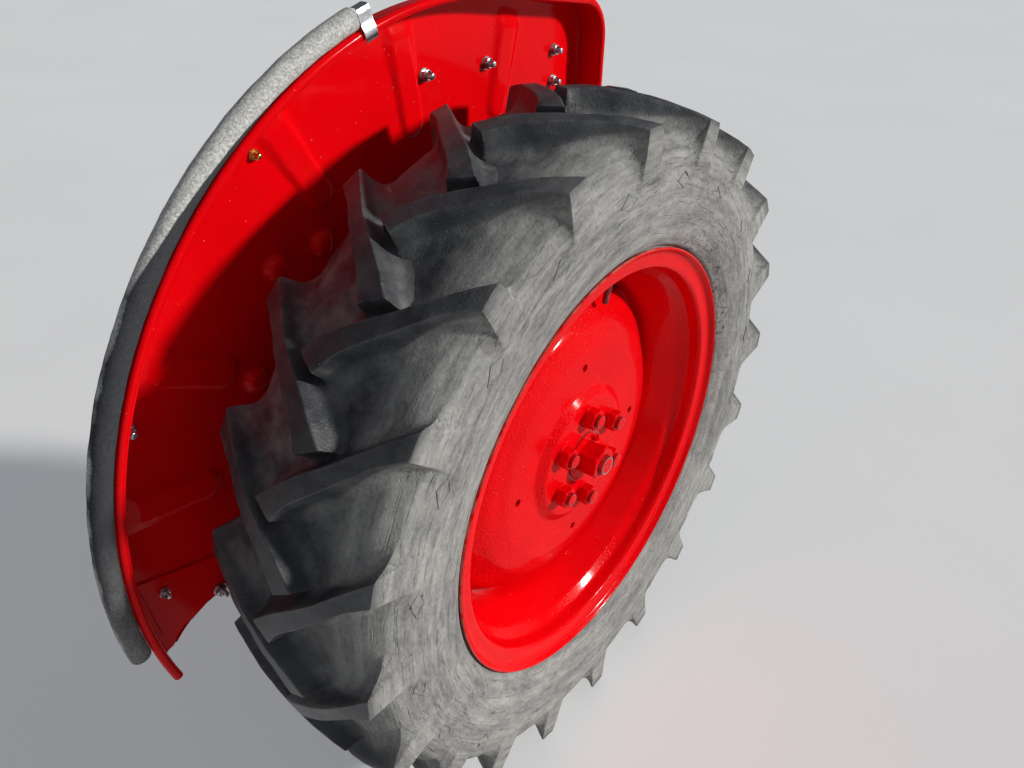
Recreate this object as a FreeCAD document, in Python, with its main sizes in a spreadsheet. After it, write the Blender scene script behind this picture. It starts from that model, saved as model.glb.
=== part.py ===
import FreeCAD, Part
import math
import os
import re
import Sketcher

# Left rear wheel of a small farm tractor on its axle end, with the mudguard.
# Frame: origin at the centre of the axle housing's inner flange face, +Y outboard along
# the axle, +X forward, +Z up. The wheel turns about the Y axis. Lengths are millimetres.
# Tyre, rim and disc are many-sided rings: the numbers of sides keep their facets few.

SIZES = [
    # Axle housing with the bearing bore in its end
    ("mount_flange_radius", 122),
    ("mount_flange_thickness", 16),
    ("mount_bolt_circle_radius", 92),
    ("mount_bolt_hole_radius", 7),
    ("housing_root_radius", 86),
    ("housing_neck_radius", 66),
    ("housing_bore_radius", 40),
    ("housing_end_y", 234),
    ("carrier_seat_y", 112),
    ("bearing_width", 30),
    ("running_clearance", 0.05),
    # Axle shaft, hub and wheel fastenings
    ("shaft_radius", 22),
    ("shaft_inner_y", 6),
    ("shaft_thread_radius", 12),
    ("shaft_proud", 6),
    ("hub_running_gap", 6),
    ("hub_flange_radius", 80),
    ("hub_flange_thickness", 14),
    ("hub_barrel_radius", 45),
    ("hub_pilot_radius", 36),
    ("seat_clearance", 0.15),
    ("stud_circle_radius", 60),
    ("stud_radius", 8),
    ("stud_proud", 5),
    ("stud_angle", 30.8),
    ("wheel_nut_across", 24),
    ("wheel_nut_height", 15),
    ("washer_radius", 33),
    ("washer_thickness", 5),
    ("centre_nut_across", 41),
    ("centre_nut_height", 24),
    # Pressed wheel disc
    ("disc_inset", 38),
    ("disc_thickness", 8),
    ("plateau_radius", 84),
    ("plateau_step", 9),
    ("disc_shoulder_radius", 150),
    ("disc_brow_radius", 184),
    ("disc_brow_drop", 15),
    ("disc_foot_drop", 53),
    ("disc_foot_width", 18),
    ("disc_hole_circle_radius", 126),
    ("disc_hole_radius", 5),
    ("slot_depth", 6),
    ("slot_spread", 22),
    ("slot_angle", -65),
    # Rim
    ("rim_sides", 48),
    ("lip_plane_y", 380),
    ("lip_radius", 279.4),
    ("rim_width", 190),
    ("rim_wall", 5),
    ("rim_slope_shift", 3),
    ("bead_seat_radius", 254),
    ("well_radius", 227),
    ("well_width_share", 0.242),
    ("well_slope", 16),
    ("valve_radius", 4),
    ("valve_length", 26),
    ("valve_angle", 105),
    # Tyre
    ("tyre_sides", 60),
    ("tyre_bulge", 14.5),
    ("bead_clearance", 0.3),
    ("tread_base_radius", 408),
    ("tread_thickness", 18),
    ("sidewall_thickness", 10.5),
    ("lug_pairs", 20),
    ("lug_height", 28),
    ("lug_shoulder_drop", 16),
    ("lug_root", 14),
    ("lug_half_width", 13.4),
    ("lug_flare", 6.5),
    ("lug_angle", 71.55),
    # Mudguard
    ("guard_wall_y", 120),
    ("guard_depth", 35),
    ("guard_bend", 12),
    ("guard_sheet", 2),
    ("guard_radius", 492),
    ("guard_centre_z", 20),
    ("guard_steps", 18),
    ("guard_tip_angle", -13),
    ("guard_crown_angle", 97),
    ("guard_rear_x", -268),
    ("guard_rear_z", 300),
    ("guard_corner_radius", 48),
    ("guard_inner_inset", 192),
    ("guard_rear_lap", 40),
    ("guard_wire_radius", 5),
    ("bead_width", 34),
    ("bead_height", 4),
    ("bead_inner_inset", 119),
    ("bead_outer_inset", 20),
    ("arch_radius", 92),
    ("arch_inset", 100),
    ("arch_z", -152),
    ("boss_radius", 13),
    ("boss_height", 9),
    # Carrier, bolts and stay of the mudguard
    ("carrier_ring_radius", 92),
    ("carrier_thickness", 6),
    ("carrier_root_half_width", 26),
    ("carrier_tip_half_width", 42),
    ("carrier_screw_across", 13),
    ("carrier_screw_height", 6),
    ("guard_bolt_across", 12),
    ("guard_bolt_height", 6),
    ("guard_bolt_radius", 4),
    ("guard_bolt_tail", 9),
    ("stay_thickness", 3),
    ("stay_inset", 124),
    # Foam seal along the mudguard's front edge
    ("foam_radius", 10.5),
    ("foam_gap", 0.05),
    ("foam_lean", 17),
]

doc = FreeCAD.newDocument("RearWheelStation")
sheet = doc.addObject("Spreadsheet::Sheet", "Sizes")
for row, (alias, value) in enumerate(SIZES, start=1):
    sheet.set(f"A{row}", alias)
    sheet.set(f"B{row}", str(value))
    sheet.setAlias(f"B{row}", alias)
doc.recompute()

ALIAS_PATTERN = re.compile(r"\b(" + "|".join(alias for alias, _ in SIZES) + r")\b")
ALONG_Y = FreeCAD.Rotation(FreeCAD.Vector(1, 0, 0), -90)
FACING_Y = FreeCAD.Rotation(FreeCAD.Vector(1, 0, 0), 90)


def sized(expression):
    """The expression with each alias pointed at the sheet."""
    return ALIAS_PATTERN.sub(r"Sizes.\1", str(expression))


def value_of(expression):
    return float(sheet.evalExpression(sized(expression)))


def bind(thing, name, expression):
    thing.setExpression(name, sized(expression))


# Named places that several pieces share
WHEEL_MID = "(lip_plane_y - rim_width / 2)"
PLATEAU_Y = "(lip_plane_y - disc_inset)"
DISC_BACK = f"({PLATEAU_Y} - disc_thickness)"
HUB_BACK = f"({DISC_BACK} - hub_flange_thickness)"
WELL_INSIDE = "(well_radius - rim_wall)"
WASHER_FACE = f"({PLATEAU_Y} + washer_thickness)"
CENTRE_NUT_FACE = f"({WASHER_FACE} + centre_nut_height)"
GUARD_EDGE_Y = "(guard_wall_y + guard_depth)"
GUARD_BACK = "(guard_wall_y - guard_sheet)"


def polar(radius, angle, centre_z="0"):
    """Expressions for the X and Z of a point at an angle in degrees from +X."""
    return (
        f"({radius}) * cos(({angle}) * 1deg)",
        f"({centre_z}) + ({radius}) * sin(({angle}) * 1deg)",
    )


def around(angle):
    """Unit vectors outward and along the turn at an angle in degrees about the axle."""
    turn = math.radians(angle)
    return (
        FreeCAD.Vector(math.cos(turn), 0, math.sin(turn)),
        FreeCAD.Vector(-math.sin(turn), 0, math.cos(turn)),
    )


def sketch_chain(name, corners, upright=False, closed=True):
    """A sketch of straight lines through corners (first, second), bound to the sheet."""
    sketch = doc.addObject("Sketcher::SketchObject", name)
    if upright:
        sketch.Placement = FreeCAD.Placement(FreeCAD.Vector(0, 0, 0), FACING_Y)
    spots = [FreeCAD.Vector(value_of(c[0]), value_of(c[1]), 0) for c in corners]
    lines = len(corners) if closed else len(corners) - 1
    for i in range(lines):
        sketch.addGeometry(Part.LineSegment(spots[i], spots[(i + 1) % len(spots)]), False)
    for i in range(lines if closed else lines - 1):
        sketch.addConstraint(Sketcher.Constraint("Coincident", i, 2, (i + 1) % lines, 1))
    for i, corner in enumerate(corners):
        geometry, point = (i, 1) if i < lines else (i - 1, 2)
        for axis, place in (("X", corner[0]), ("Y", corner[1])):
            amount = value_of(place)
            if abs(amount) < 1e-9:
                line = -2 if axis == "X" else -1
                sketch.addConstraint(
                    Sketcher.Constraint("PointOnObject", geometry, point, line)
                )
                continue
            sketch.addConstraint(
                Sketcher.Constraint(f"Distance{axis}", -1, 1, geometry, point, amount)
            )
            label = f"{axis.lower()}_{i}"
            sketch.renameConstraint(sketch.ConstraintCount - 1, label)
            bind(sketch, f"Constraints.{label}", place)
    return sketch


def swept(name, section, path):
    """A closed section carried along a path of straight runs, mitred at its corners."""
    doc.recompute()
    run = doc.addObject("Part::Sweep", name)
    run.Sections = [section]
    run.Spine = (path, [f"Edge{number + 1}" for number in range(len(path.Shape.Edges))])
    run.Solid = True
    run.Frenet = False
    run.Transition = "Right corner"
    return run


def ring(name, corners, sides):
    """A many-sided ring about the axle from corners (radius to its flats, y)."""
    path = doc.addObject("Part::RegularPolygon", f"{name}_path")
    bind(path, "Polygon", sides)
    bind(path, "Circumradius", "lip_radius")
    half_side = FreeCAD.Rotation(FreeCAD.Vector(0, 1, 0), 180 / value_of(sides))
    path.Placement = FreeCAD.Placement(FreeCAD.Vector(0, 0, 0), half_side.multiply(FACING_Y))
    return swept(name, sketch_chain(f"{name}_profile", corners), path)


def outline(name, spots):
    """A closed wire through points in space."""
    wire = doc.addObject("Part::Polygon", name)
    wire.Nodes = spots
    wire.Close = True
    return wire


def plate(name, corners, start_y, thickness):
    """A flat plate across the axle from corners (x, z), from start_y outboard."""
    sketch = sketch_chain(f"{name}_outline", corners, upright=True)
    bind(sketch, ".Placement.Base.y", start_y)
    slab = doc.addObject("Part::Extrusion", name)
    slab.Base = sketch
    slab.DirMode = "Custom"
    slab.Dir = FreeCAD.Vector(0, 1, 0)
    slab.Solid = True
    bind(slab, "LengthFwd", thickness)
    return slab


def stand(thing, length, start_y, x, z):
    """Lay a cylinder or prism along the axle's direction from start_y outboard."""
    thing.Placement = FreeCAD.Placement(FreeCAD.Vector(0, 0, 0), ALONG_Y)
    bind(thing, "Height", length)
    bind(thing, ".Placement.Base.x", x)
    bind(thing, ".Placement.Base.y", start_y)
    bind(thing, ".Placement.Base.z", z)
    return thing


def rod(name, radius, start_y, length, x="0", z="0"):
    bar = doc.addObject("Part::Cylinder", name)
    bind(bar, "Radius", radius)
    return stand(bar, length, start_y, x, z)


def prism(name, sides, across, start_y, length, x="0", z="0"):
    """A bar with flat sides, across measured from flat to flat."""
    bar = doc.addObject("Part::Prism", name)
    bar.Polygon = sides
    bind(bar, "Circumradius", f"({across}) / 2 / cos(180deg / {sides})")
    return stand(bar, length, start_y, x, z)


def fused(name, shapes, refine=True):
    union = doc.addObject("Part::MultiFuse", name)
    union.Shapes = shapes
    union.Refine = refine
    return union


def cut(name, base, tools):
    """Base with the tools taken out of it."""
    tool = tools[0] if len(tools) == 1 else fused(f"{name}_tools", tools)
    rest = doc.addObject("Part::Cut", name)
    rest.Base = base
    rest.Tool = tool
    return rest


def evenly(count, first_angle):
    return [f"{first_angle} + {360 * step / count}" for step in range(count)]


pieces = []


def piece(label, shape):
    shape.Label = label
    pieces.append(shape)
    return shape


# Axle housing: six-sided flange, eight-sided root, neck with the shaft's bearing bore
MOUNT_BOLTS = 6
ROUND_SIDES = 24
flange = prism(
    "housing_flange", MOUNT_BOLTS, "mount_flange_radius * sqrt(3)", 0, "mount_flange_thickness"
)
root = prism("housing_root", 8, "housing_root_radius * 2", 0, "carrier_seat_y")
neck = prism("housing_neck", ROUND_SIDES, "housing_neck_radius * 2", 0, "housing_end_y")
housing_tools = [
    rod("housing_bore", "housing_bore_radius", -1, "housing_end_y - bearing_width + 1"),
    rod("bearing_bore", "shaft_radius + running_clearance", 0, "housing_end_y + 1"),
]
for number, angle in enumerate(evenly(MOUNT_BOLTS, 0)):
    x, z = polar("mount_bolt_circle_radius", angle)
    housing_tools.append(rod(
        f"mount_hole_{number}", "mount_bolt_hole_radius", -1, "mount_flange_thickness + 2", x, z
    ))
piece("axle_housing", cut(
    "axle_housing", fused("housing_body", [flange, root, neck]), housing_tools
))

# Axle shaft with its threaded end
STUD_SIDES = 12
piece("axle_shaft", fused("axle_shaft", [
    rod("shaft_bar", "shaft_radius", "shaft_inner_y", f"{PLATEAU_Y} - shaft_inner_y"),
    prism("shaft_thread", STUD_SIDES, "shaft_thread_radius * 2", f"{PLATEAU_Y} - 1",
          f"{CENTRE_NUT_FACE} - {PLATEAU_Y} + shaft_proud + 1"),
]))

# Hub on the shaft with its six studs: barrel, flange behind the disc, pilot in its centre
WHEEL_STUDS = 6
HUB_START = "(housing_end_y + hub_running_gap)"
stud_places = [polar("stud_circle_radius", angle) for angle in evenly(WHEEL_STUDS, "stud_angle")]
hub_body = cut("hub_body", fused("hub_blank", [
    prism("hub_barrel", ROUND_SIDES, "hub_barrel_radius * 2", HUB_START, f"{HUB_BACK} - {HUB_START}"),
    prism("hub_flange", ROUND_SIDES, "hub_flange_radius * 2", HUB_BACK, "hub_flange_thickness"),
    rod("hub_pilot", "hub_pilot_radius", HUB_BACK, "hub_flange_thickness + disc_thickness"),
]), [rod(
    "hub_bore", "shaft_radius + seat_clearance", f"{HUB_START} - 1", f"{PLATEAU_Y} - {HUB_START} + 2"
)])
studs = [
    prism(
        f"wheel_stud_{number}", STUD_SIDES, "stud_radius * 2", f"{DISC_BACK} - 1",
        "disc_thickness + wheel_nut_height + stud_proud + 1", x, z,
    )
    for number, (x, z) in enumerate(stud_places)
]
piece("hub", fused("hub", [hub_body] + studs))

# Pressed wheel disc: raised centre, flat ring with holes, brow falling to the rim's well
RING_FACE = f"({PLATEAU_Y} - plateau_step)"
BROW_Y = f"({RING_FACE} - disc_brow_drop)"
FOOT_Y = f"({RING_FACE} - disc_foot_drop)"
FOOT_RADIUS = f"({WELL_INSIDE} - seat_clearance)"
dish = ring("disc_dish", [
    ("plateau_radius - disc_thickness", PLATEAU_Y),
    ("plateau_radius", PLATEAU_Y),
    ("plateau_radius + plateau_step", RING_FACE),
    ("disc_shoulder_radius", RING_FACE),
    ("disc_brow_radius", BROW_Y),
    (FOOT_RADIUS, FOOT_Y),
    (FOOT_RADIUS, f"{FOOT_Y} - disc_foot_width"),
    (f"{FOOT_RADIUS} - disc_thickness", f"{FOOT_Y} - disc_foot_width"),
    (f"{FOOT_RADIUS} - disc_thickness", f"{FOOT_Y} - plateau_step / 2"),
    ("disc_brow_radius - disc_thickness / 2", f"{BROW_Y} - disc_thickness"),
    ("disc_shoulder_radius - disc_thickness / 4", f"{RING_FACE} - disc_thickness"),
    ("plateau_radius + plateau_step", f"{RING_FACE} - disc_thickness"),
    ("plateau_radius", DISC_BACK),
    ("plateau_radius - disc_thickness", DISC_BACK),
], "rim_sides")
centre = rod("disc_centre", "plateau_radius - disc_thickness / 2", DISC_BACK, "disc_thickness")
DISC_HOLES = 4
NUT_BORE_SIDES = 8
disc_tools = [rod(
    "disc_bore", "hub_pilot_radius + seat_clearance", f"{DISC_BACK} - 1", "disc_thickness + 2"
)]
for number, (x, z) in enumerate(stud_places):
    disc_tools.append(prism(
        f"disc_stud_hole_{number}", NUT_BORE_SIDES, "(stud_radius + seat_clearance) * 2",
        f"{DISC_BACK} - 1", "disc_thickness + 2", x, z,
    ))
for number, angle in enumerate(evenly(DISC_HOLES, 90.5)):
    x, z = polar("disc_hole_circle_radius", angle)
    disc_tools.append(prism(
        f"disc_hole_{number}", STUD_SIDES, "disc_hole_radius * 2",
        f"{RING_FACE} - disc_thickness - 1", "disc_thickness + 2", x, z,
    ))
DISC_SLOTS = 4
for number, angle in enumerate(evenly(DISC_SLOTS, "slot_angle")):
    inner = f"({FOOT_RADIUS} - slot_depth)"
    outer = f"({FOOT_RADIUS} + slot_depth)"
    disc_tools.append(plate(
        f"disc_slot_{number}",
        [
            polar(inner, f"{angle} - slot_spread / 2"),
            polar(inner, f"{angle} + slot_spread / 2"),
            polar(outer, f"{angle} + slot_spread / 2"),
            polar(outer, f"{angle} - slot_spread / 2"),
        ],
        f"{FOOT_Y} - disc_foot_width - 1", "disc_foot_width * 2",
    ))
piece("wheel_disc", cut("wheel_disc", fused("disc_body", [dish, centre]), disc_tools))

# Wheel nuts, and the centre nut with its washer face
nuts = []
for number, (x, z) in enumerate(stud_places):
    blank = prism(
        f"wheel_nut_blank_{number}", 6, "wheel_nut_across", PLATEAU_Y, "wheel_nut_height", x, z
    )
    bore = prism(
        f"wheel_nut_bore_{number}", NUT_BORE_SIDES, "(stud_radius + seat_clearance) * 2",
        f"{PLATEAU_Y} - 1", "wheel_nut_height + 2", x, z,
    )
    nuts.append(cut(f"wheel_nut_{number}", blank, [bore]))
piece("wheel_nuts", fused("wheel_nuts", nuts))
centre_blank = fused("centre_nut_blank", [
    prism("centre_washer", ROUND_SIDES, "washer_radius * 2", PLATEAU_Y, "washer_thickness"),
    prism("centre_hexagon", 6, "centre_nut_across", PLATEAU_Y,
          "washer_thickness + centre_nut_height"),
])
centre_bore = prism(
    "centre_nut_bore", STUD_SIDES, "(shaft_thread_radius + seat_clearance) * 2",
    f"{PLATEAU_Y} - 1", "washer_thickness + centre_nut_height + 2",
)
piece("centre_nut", cut("centre_nut", centre_blank, [centre_bore]))

# Drop-centre rim, from the outer lip along the inside and back along the tyre's side
HALF = "(rim_width / 2)"
SEAT_INSIDE = "(bead_seat_radius - rim_wall)"
WELL_HALF = "(rim_width * well_width_share)"
SEAT_START = f"({WELL_HALF} + well_slope)"


def rim_corner(radius, reach):
    return (radius, f"{WHEEL_MID} + {reach}")


piece("rim", ring("rim", [
    rim_corner("lip_radius", HALF),
    rim_corner(SEAT_INSIDE, HALF),
    rim_corner(SEAT_INSIDE, SEAT_START),
    rim_corner(WELL_INSIDE, WELL_HALF),
    rim_corner(WELL_INSIDE, f"-{WELL_HALF}"),
    rim_corner(SEAT_INSIDE, f"-{SEAT_START}"),
    rim_corner(SEAT_INSIDE, f"-{HALF}"),
    rim_corner("lip_radius", f"-{HALF}"),
    rim_corner("lip_radius", f"-({HALF} - rim_wall)"),
    rim_corner("bead_seat_radius", f"-({HALF} - rim_wall)"),
    rim_corner("bead_seat_radius", f"-({SEAT_START} - rim_slope_shift)"),
    rim_corner("well_radius", f"-({WELL_HALF} - rim_slope_shift)"),
    rim_corner("well_radius", f"{WELL_HALF} - rim_slope_shift"),
    rim_corner("bead_seat_radius", f"{SEAT_START} - rim_slope_shift"),
    rim_corner("bead_seat_radius", f"{HALF} - rim_wall"),
    rim_corner("lip_radius", f"{HALF} - rim_wall"),
], "rim_sides"))

# Valve stem standing on the well towards the axle
valve = doc.addObject("Part::Prism", "valve_stem")
valve.Polygon = NUT_BORE_SIDES
valve.Placement = FreeCAD.Placement(
    FreeCAD.Vector(0, 0, 0),
    FreeCAD.Rotation(FreeCAD.Vector(0, 1, 0), 270 - value_of("valve_angle")),
)
bind(valve, "Circumradius", "valve_radius")
bind(valve, "Height", "valve_length")
valve_x, valve_z = polar(WELL_INSIDE, "valve_angle")
bind(valve, ".Placement.Base.x", valve_x)
bind(valve, ".Placement.Base.y", f"{WHEEL_MID} + {WELL_HALF} - valve_radius * 2")
bind(valve, ".Placement.Base.z", valve_z)
piece("valve_stem", valve)

# Tyre carcass: outside from bead to bead over the crown, then back through the hollow.
# Heights are shares of the way from the rim's lip to the tread between the lugs.
SECTION_HALF = f"({HALF} + tyre_bulge)"
BEAD_FACE = f"({HALF} - rim_wall - bead_clearance)"
BEAD_BORE = "(bead_seat_radius / cos(180deg / rim_sides) + bead_clearance)"
LIP_TOP = "(lip_radius / cos(180deg / rim_sides) + bead_clearance)"
HEIGHT = "(tread_base_radius - lip_radius)"
INSIDE_RADIUS = "(tread_base_radius - tread_thickness)"
OUTSIDE = [
    # radius, reach from the wheel's middle plane
    (BEAD_BORE, f"{SEAT_START} + rim_slope_shift"),
    (BEAD_BORE, BEAD_FACE),
    (LIP_TOP, BEAD_FACE),
    (f"lip_radius + {HEIGHT} * 0.19", f"{SECTION_HALF} - tyre_bulge * 0.35"),
    (f"lip_radius + {HEIGHT} * 0.5", SECTION_HALF),
    (f"lip_radius + {HEIGHT} * 0.74", f"{SECTION_HALF} - tyre_bulge * 0.17"),
    (f"lip_radius + {HEIGHT} * 0.89", f"{SECTION_HALF} - tyre_bulge * 0.83"),
    (f"lip_radius + {HEIGHT} * 0.97", f"{SECTION_HALF} * 0.72"),
    ("tread_base_radius", f"{SECTION_HALF} * 0.38"),
]
HOLLOW = [
    (f"lip_radius - {HEIGHT} * 0.09", f"{SEAT_START} + sidewall_thickness * 1.4"),
    (f"lip_radius + {HEIGHT} * 0.55", f"{SECTION_HALF} - sidewall_thickness"),
    (INSIDE_RADIUS, f"{SECTION_HALF} * 0.66"),
]
carcass_corners = [rim_corner(radius, reach) for radius, reach in OUTSIDE]
carcass_corners += [rim_corner(radius, f"-({reach})") for radius, reach in reversed(OUTSIDE)]
carcass_corners += [rim_corner(radius, f"-({reach})") for radius, reach in HOLLOW]
carcass_corners += [rim_corner(radius, reach) for radius, reach in reversed(HOLLOW)]
carcass = ring("carcass", carcass_corners, "tyre_sides")

# Lugs: a flared bar carried along a bent line from the shoulder in past the middle
LUG_LINE = [
    # reach from the middle plane as a share of the half width, lag in degrees
    (1.005, 0),
    (0.77, 2.65),
    (0.35, 8.05),
    (-0.2, 14.65),
]


def lug_spot(share, lag, side, offset):
    """A point on the lug's top line, on the outer side or mirrored on the inner one."""
    top = value_of(f"tread_base_radius + lug_height - lug_shoulder_drop * {share} ^ 2")
    outward = around(value_of("lug_angle") - lag + offset)[0]
    spot = outward * top
    spot.y = value_of(f"{WHEEL_MID} + {side * share} * {SECTION_HALF}")
    return spot


def lug(side, offset):
    """The first lug of the outer (side 1) or inner (side -1) row."""
    row = "outer" if side > 0 else "inner"
    path = doc.addObject("Part::Polygon", f"lug_line_{row}")
    path.Nodes = [lug_spot(share, lag, side, offset) for share, lag in LUG_LINE]
    outward, along = around(value_of("lug_angle") + offset)
    top = along * value_of("lug_half_width")
    foot = along * value_of("lug_half_width + lug_flare")
    down = outward * value_of("lug_height + lug_root")
    end = path.Nodes[0]
    section = outline(
        f"lug_section_{row}", [end + top, end + foot - down, end - foot - down, end - top]
    )
    return swept(f"lug_{row}", section, path)


lug_pitch = 360 / value_of("lug_pairs")
first_lugs = [lug(1, 0), lug(-1, lug_pitch / 2)]
doc.recompute()
lug_copies = []
for first_lug in first_lugs:
    for number in range(int(value_of("lug_pairs"))):
        copy = first_lug.Shape.copy()
        copy.rotate(FreeCAD.Vector(0, 0, 0), FreeCAD.Vector(0, 1, 0), number * lug_pitch)
        lug_copies.append(copy)
lugs = doc.addObject("Part::Feature", "lugs")
lugs.Shape = Part.makeCompound(lug_copies)
piece("tyre", fused("tyre", [carcass, lugs], refine=False))

# Mudguard: flat wall, edge curling outboard, wired rim, radial beads, arch at the foot
GUARD_STEP = "((guard_crown_angle - guard_tip_angle) / guard_steps)"
CORNER_STEPS = 3


def guard_arc(radius, first_step, last_step):
    """Corners on the guard's circle, by the number of steps from its foot."""
    return [
        polar(radius, f"guard_tip_angle + {GUARD_STEP} * {step}", "guard_centre_z")
        for step in range(first_step, last_step + 1)
    ]


def guard_outline(inset):
    """Corners along the guard's edge from the foot to the rear, set in by an amount."""
    radius = f"(guard_radius - {inset})"
    bend = f"(guard_corner_radius - {inset})"
    bend_x = "(guard_rear_x + guard_corner_radius)"
    # The bend's centre lies under the straight top line, inside the upright rear line
    slope = "(guard_crown_angle * 1deg)"
    bend_z = (
        f"(guard_centre_z + (guard_radius - guard_corner_radius - cos{slope} * {bend_x})"
        f" / sin{slope})"
    )
    corners = guard_arc(radius, 0, int(value_of("guard_steps")))
    for step in range(CORNER_STEPS + 1):
        angle = f"(guard_crown_angle + (180 - guard_crown_angle) * {step / CORNER_STEPS})"
        corners.append((
            f"{bend_x} + {bend} * cos({angle} * 1deg)",
            f"{bend_z} + {bend} * sin({angle} * 1deg)",
        ))
    return corners + [(f"guard_rear_x + {inset}", "guard_rear_z")]


def guard_section(name, spots, step=0):
    """A wire across the guard's edge from (inset, rise) pairs, some steps from its foot."""
    outward = around(value_of(f"guard_tip_angle + {GUARD_STEP} * {step}"))[0]
    radius = value_of("guard_radius")
    centre = FreeCAD.Vector(0, value_of(GUARD_EDGE_Y), value_of("guard_centre_z"))
    return outline(name, [
        centre + outward * (radius - inset) + FreeCAD.Vector(0, rise, 0)
        for inset, rise in spots
    ])


def guard_path(name, corners):
    path = sketch_chain(name, corners, upright=True, closed=False)
    bind(path, ".Placement.Base.y", GUARD_EDGE_Y)
    return path


BEND_TURNS = [0, 45, 90]
depth = value_of("guard_depth")
bend = value_of("guard_bend")
thin = value_of("guard_sheet")
turns = [math.radians(turn) for turn in BEND_TURNS]
inner_curl = [
    (bend - bend * math.sin(t), bend - depth - bend * math.cos(t)) for t in turns
] + [(0, 0)]
outer_curl = [
    (bend - (bend + thin) * math.sin(t), bend - depth - (bend + thin) * math.cos(t)) for t in turns
] + [(-thin, 0)]
lap = 2 * thin
guard_edge = guard_path("guard_edge", guard_outline("0"))
curl = swept("guard_curl", guard_section(
    "curl_section",
    [(bend + lap, -depth)] + inner_curl + outer_curl[::-1] + [(bend + lap, -depth - thin)],
), guard_edge)

# The wired rim: a six-sided round along the curl's free edge, one flat towards the seal
WIRE_SIDES = 6
FOAM_SIDES = 8


def round_spots(radius, sides, centre, facing):
    """Corners of a many-sided round with one flat's middle at the angle facing."""
    corners = []
    for number in range(sides):
        angle = math.radians(facing + (number + 0.5) * 360 / sides)
        corners.append((
            centre[0] - radius * math.cos(angle), centre[1] + radius * math.sin(angle)
        ))
    return corners


lean = value_of("foam_lean")
wire_centre = (-thin / 2, 0)
wire = swept("guard_wire", guard_section(
    "wire_section", round_spots(value_of("guard_wire_radius"), WIRE_SIDES, wire_centre, -lean)
), guard_edge)
INNER_STEPS = 14
INNER_START, INNER_END = 128, -8
inner_edge = [
    polar(
        "guard_radius - guard_inner_inset",
        INNER_START + (INNER_END - INNER_START) * step / INNER_STEPS,
    )
    for step in range(INNER_STEPS + 1)
]
wall = plate(
    "guard_wall",
    guard_outline("(guard_bend + guard_sheet)")
    + [(inner_edge[0][0], "guard_rear_z - guard_rear_lap")] + inner_edge,
    GUARD_BACK, "guard_sheet",
)
GUARD_BEADS = [9.7, 28.1, 59.4, 81.6, 104.2]
SHEET_MIDDLE = "(guard_wall_y - guard_sheet / 2)"
ribs = []
for number, angle in enumerate(GUARD_BEADS):
    low = polar("guard_radius - bead_inner_inset", angle, "guard_centre_z")
    high = polar("guard_radius - bead_outer_inset", angle, "guard_centre_z")
    off = polar("bead_width / 2", angle + 90)
    rise = "bead_height + guard_sheet / 2"
    ribs.append(plate(
        f"guard_bead_{number}",
        [
            (f"{high[0]} - ({off[0]})", f"{high[1]} - ({off[1]})"),
            (f"{high[0]} + ({off[0]})", f"{high[1]} + ({off[1]})"),
            (f"{low[0]} + ({off[0]})", f"{low[1]} + ({off[1]})"),
            (f"{low[0]} - ({off[0]})", f"{low[1]} - ({off[1]})"),
        ],
        SHEET_MIDDLE, rise,
    ))
    ribs.append(prism(
        f"guard_bead_end_{number}", STUD_SIDES, "bead_width", SHEET_MIDDLE, rise, *low
    ))
# Domed bosses of the wall: inset from the guard's edge, angle about its centre
BOSS_PLACES = [(156.6, 27), (155.4, 54.1), (122.6, 45.9)]
for number, (inset, angle) in enumerate(BOSS_PLACES):
    x, z = polar(f"guard_radius - {inset}", angle, "guard_centre_z")
    ribs.append(prism(
        f"guard_boss_{number}", STUD_SIDES, "boss_radius * 2", SHEET_MIDDLE, "boss_height", x, z
    ))


def arch(name):
    return prism(name, ROUND_SIDES, "arch_radius * 2", f"{GUARD_BACK} - 1", "guard_depth * 2",
                 "guard_radius - arch_inset", "arch_z")


guard_body = fused("guard_body", [wall, curl, wire] + ribs)
piece("mudguard", cut("mudguard", guard_body, [arch("guard_arch")]))

# Carrier: ring on the housing's root with arms out along the back of the mudguard's wall
CARRIER_BACK = f"({GUARD_BACK} - carrier_thickness)"
CARRIER_ARMS = [
    # angle, distance of the tip from the guard's edge
    (30, 120),
    (52, 94),
    (98, 44),
]
ring_blank = prism(
    "carrier_ring", ROUND_SIDES, "carrier_ring_radius * 2", "carrier_seat_y", "carrier_thickness"
)
arms = []
for number, (angle, inset) in enumerate(CARRIER_ARMS):
    base = polar("carrier_ring_radius - carrier_root_half_width / 2", angle)
    tip = polar(f"guard_radius - {inset}", angle)
    base_off = polar("carrier_root_half_width", angle + 90)
    tip_off = polar("carrier_tip_half_width", angle + 90)
    arms.append(plate(
        f"carrier_arm_{number}",
        [
            (f"{base[0]} - ({base_off[0]})", f"{base[1]} - ({base_off[1]})"),
            (f"{tip[0]} - ({tip_off[0]})", f"{tip[1]} - ({tip_off[1]})"),
            (f"{tip[0]} + ({tip_off[0]})", f"{tip[1]} + ({tip_off[1]})"),
            (f"{base[0]} + ({base_off[0]})", f"{base[1]} + ({base_off[1]})"),
        ],
        CARRIER_BACK, "carrier_thickness",
    ))
carrier_hole = prism(
    "carrier_hole", ROUND_SIDES, "(housing_neck_radius + seat_clearance) * 2",
    "carrier_seat_y - 1", "carrier_thickness + 2",
)
piece("mudguard_carrier", cut(
    "mudguard_carrier", fused("carrier_blank", [ring_blank] + arms), [carrier_hole]
))
CARRIER_SCREWS = 4
carrier_heads = []
for number, angle in enumerate(evenly(CARRIER_SCREWS, 165)):
    x, z = polar("(carrier_ring_radius + housing_neck_radius) / 2", angle)
    carrier_heads.append(prism(
        f"carrier_head_{number}", 6, "carrier_screw_across",
        "carrier_seat_y + carrier_thickness", "carrier_screw_height", x, z,
    ))
piece("carrier_screws", fused("carrier_screws", carrier_heads))

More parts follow.
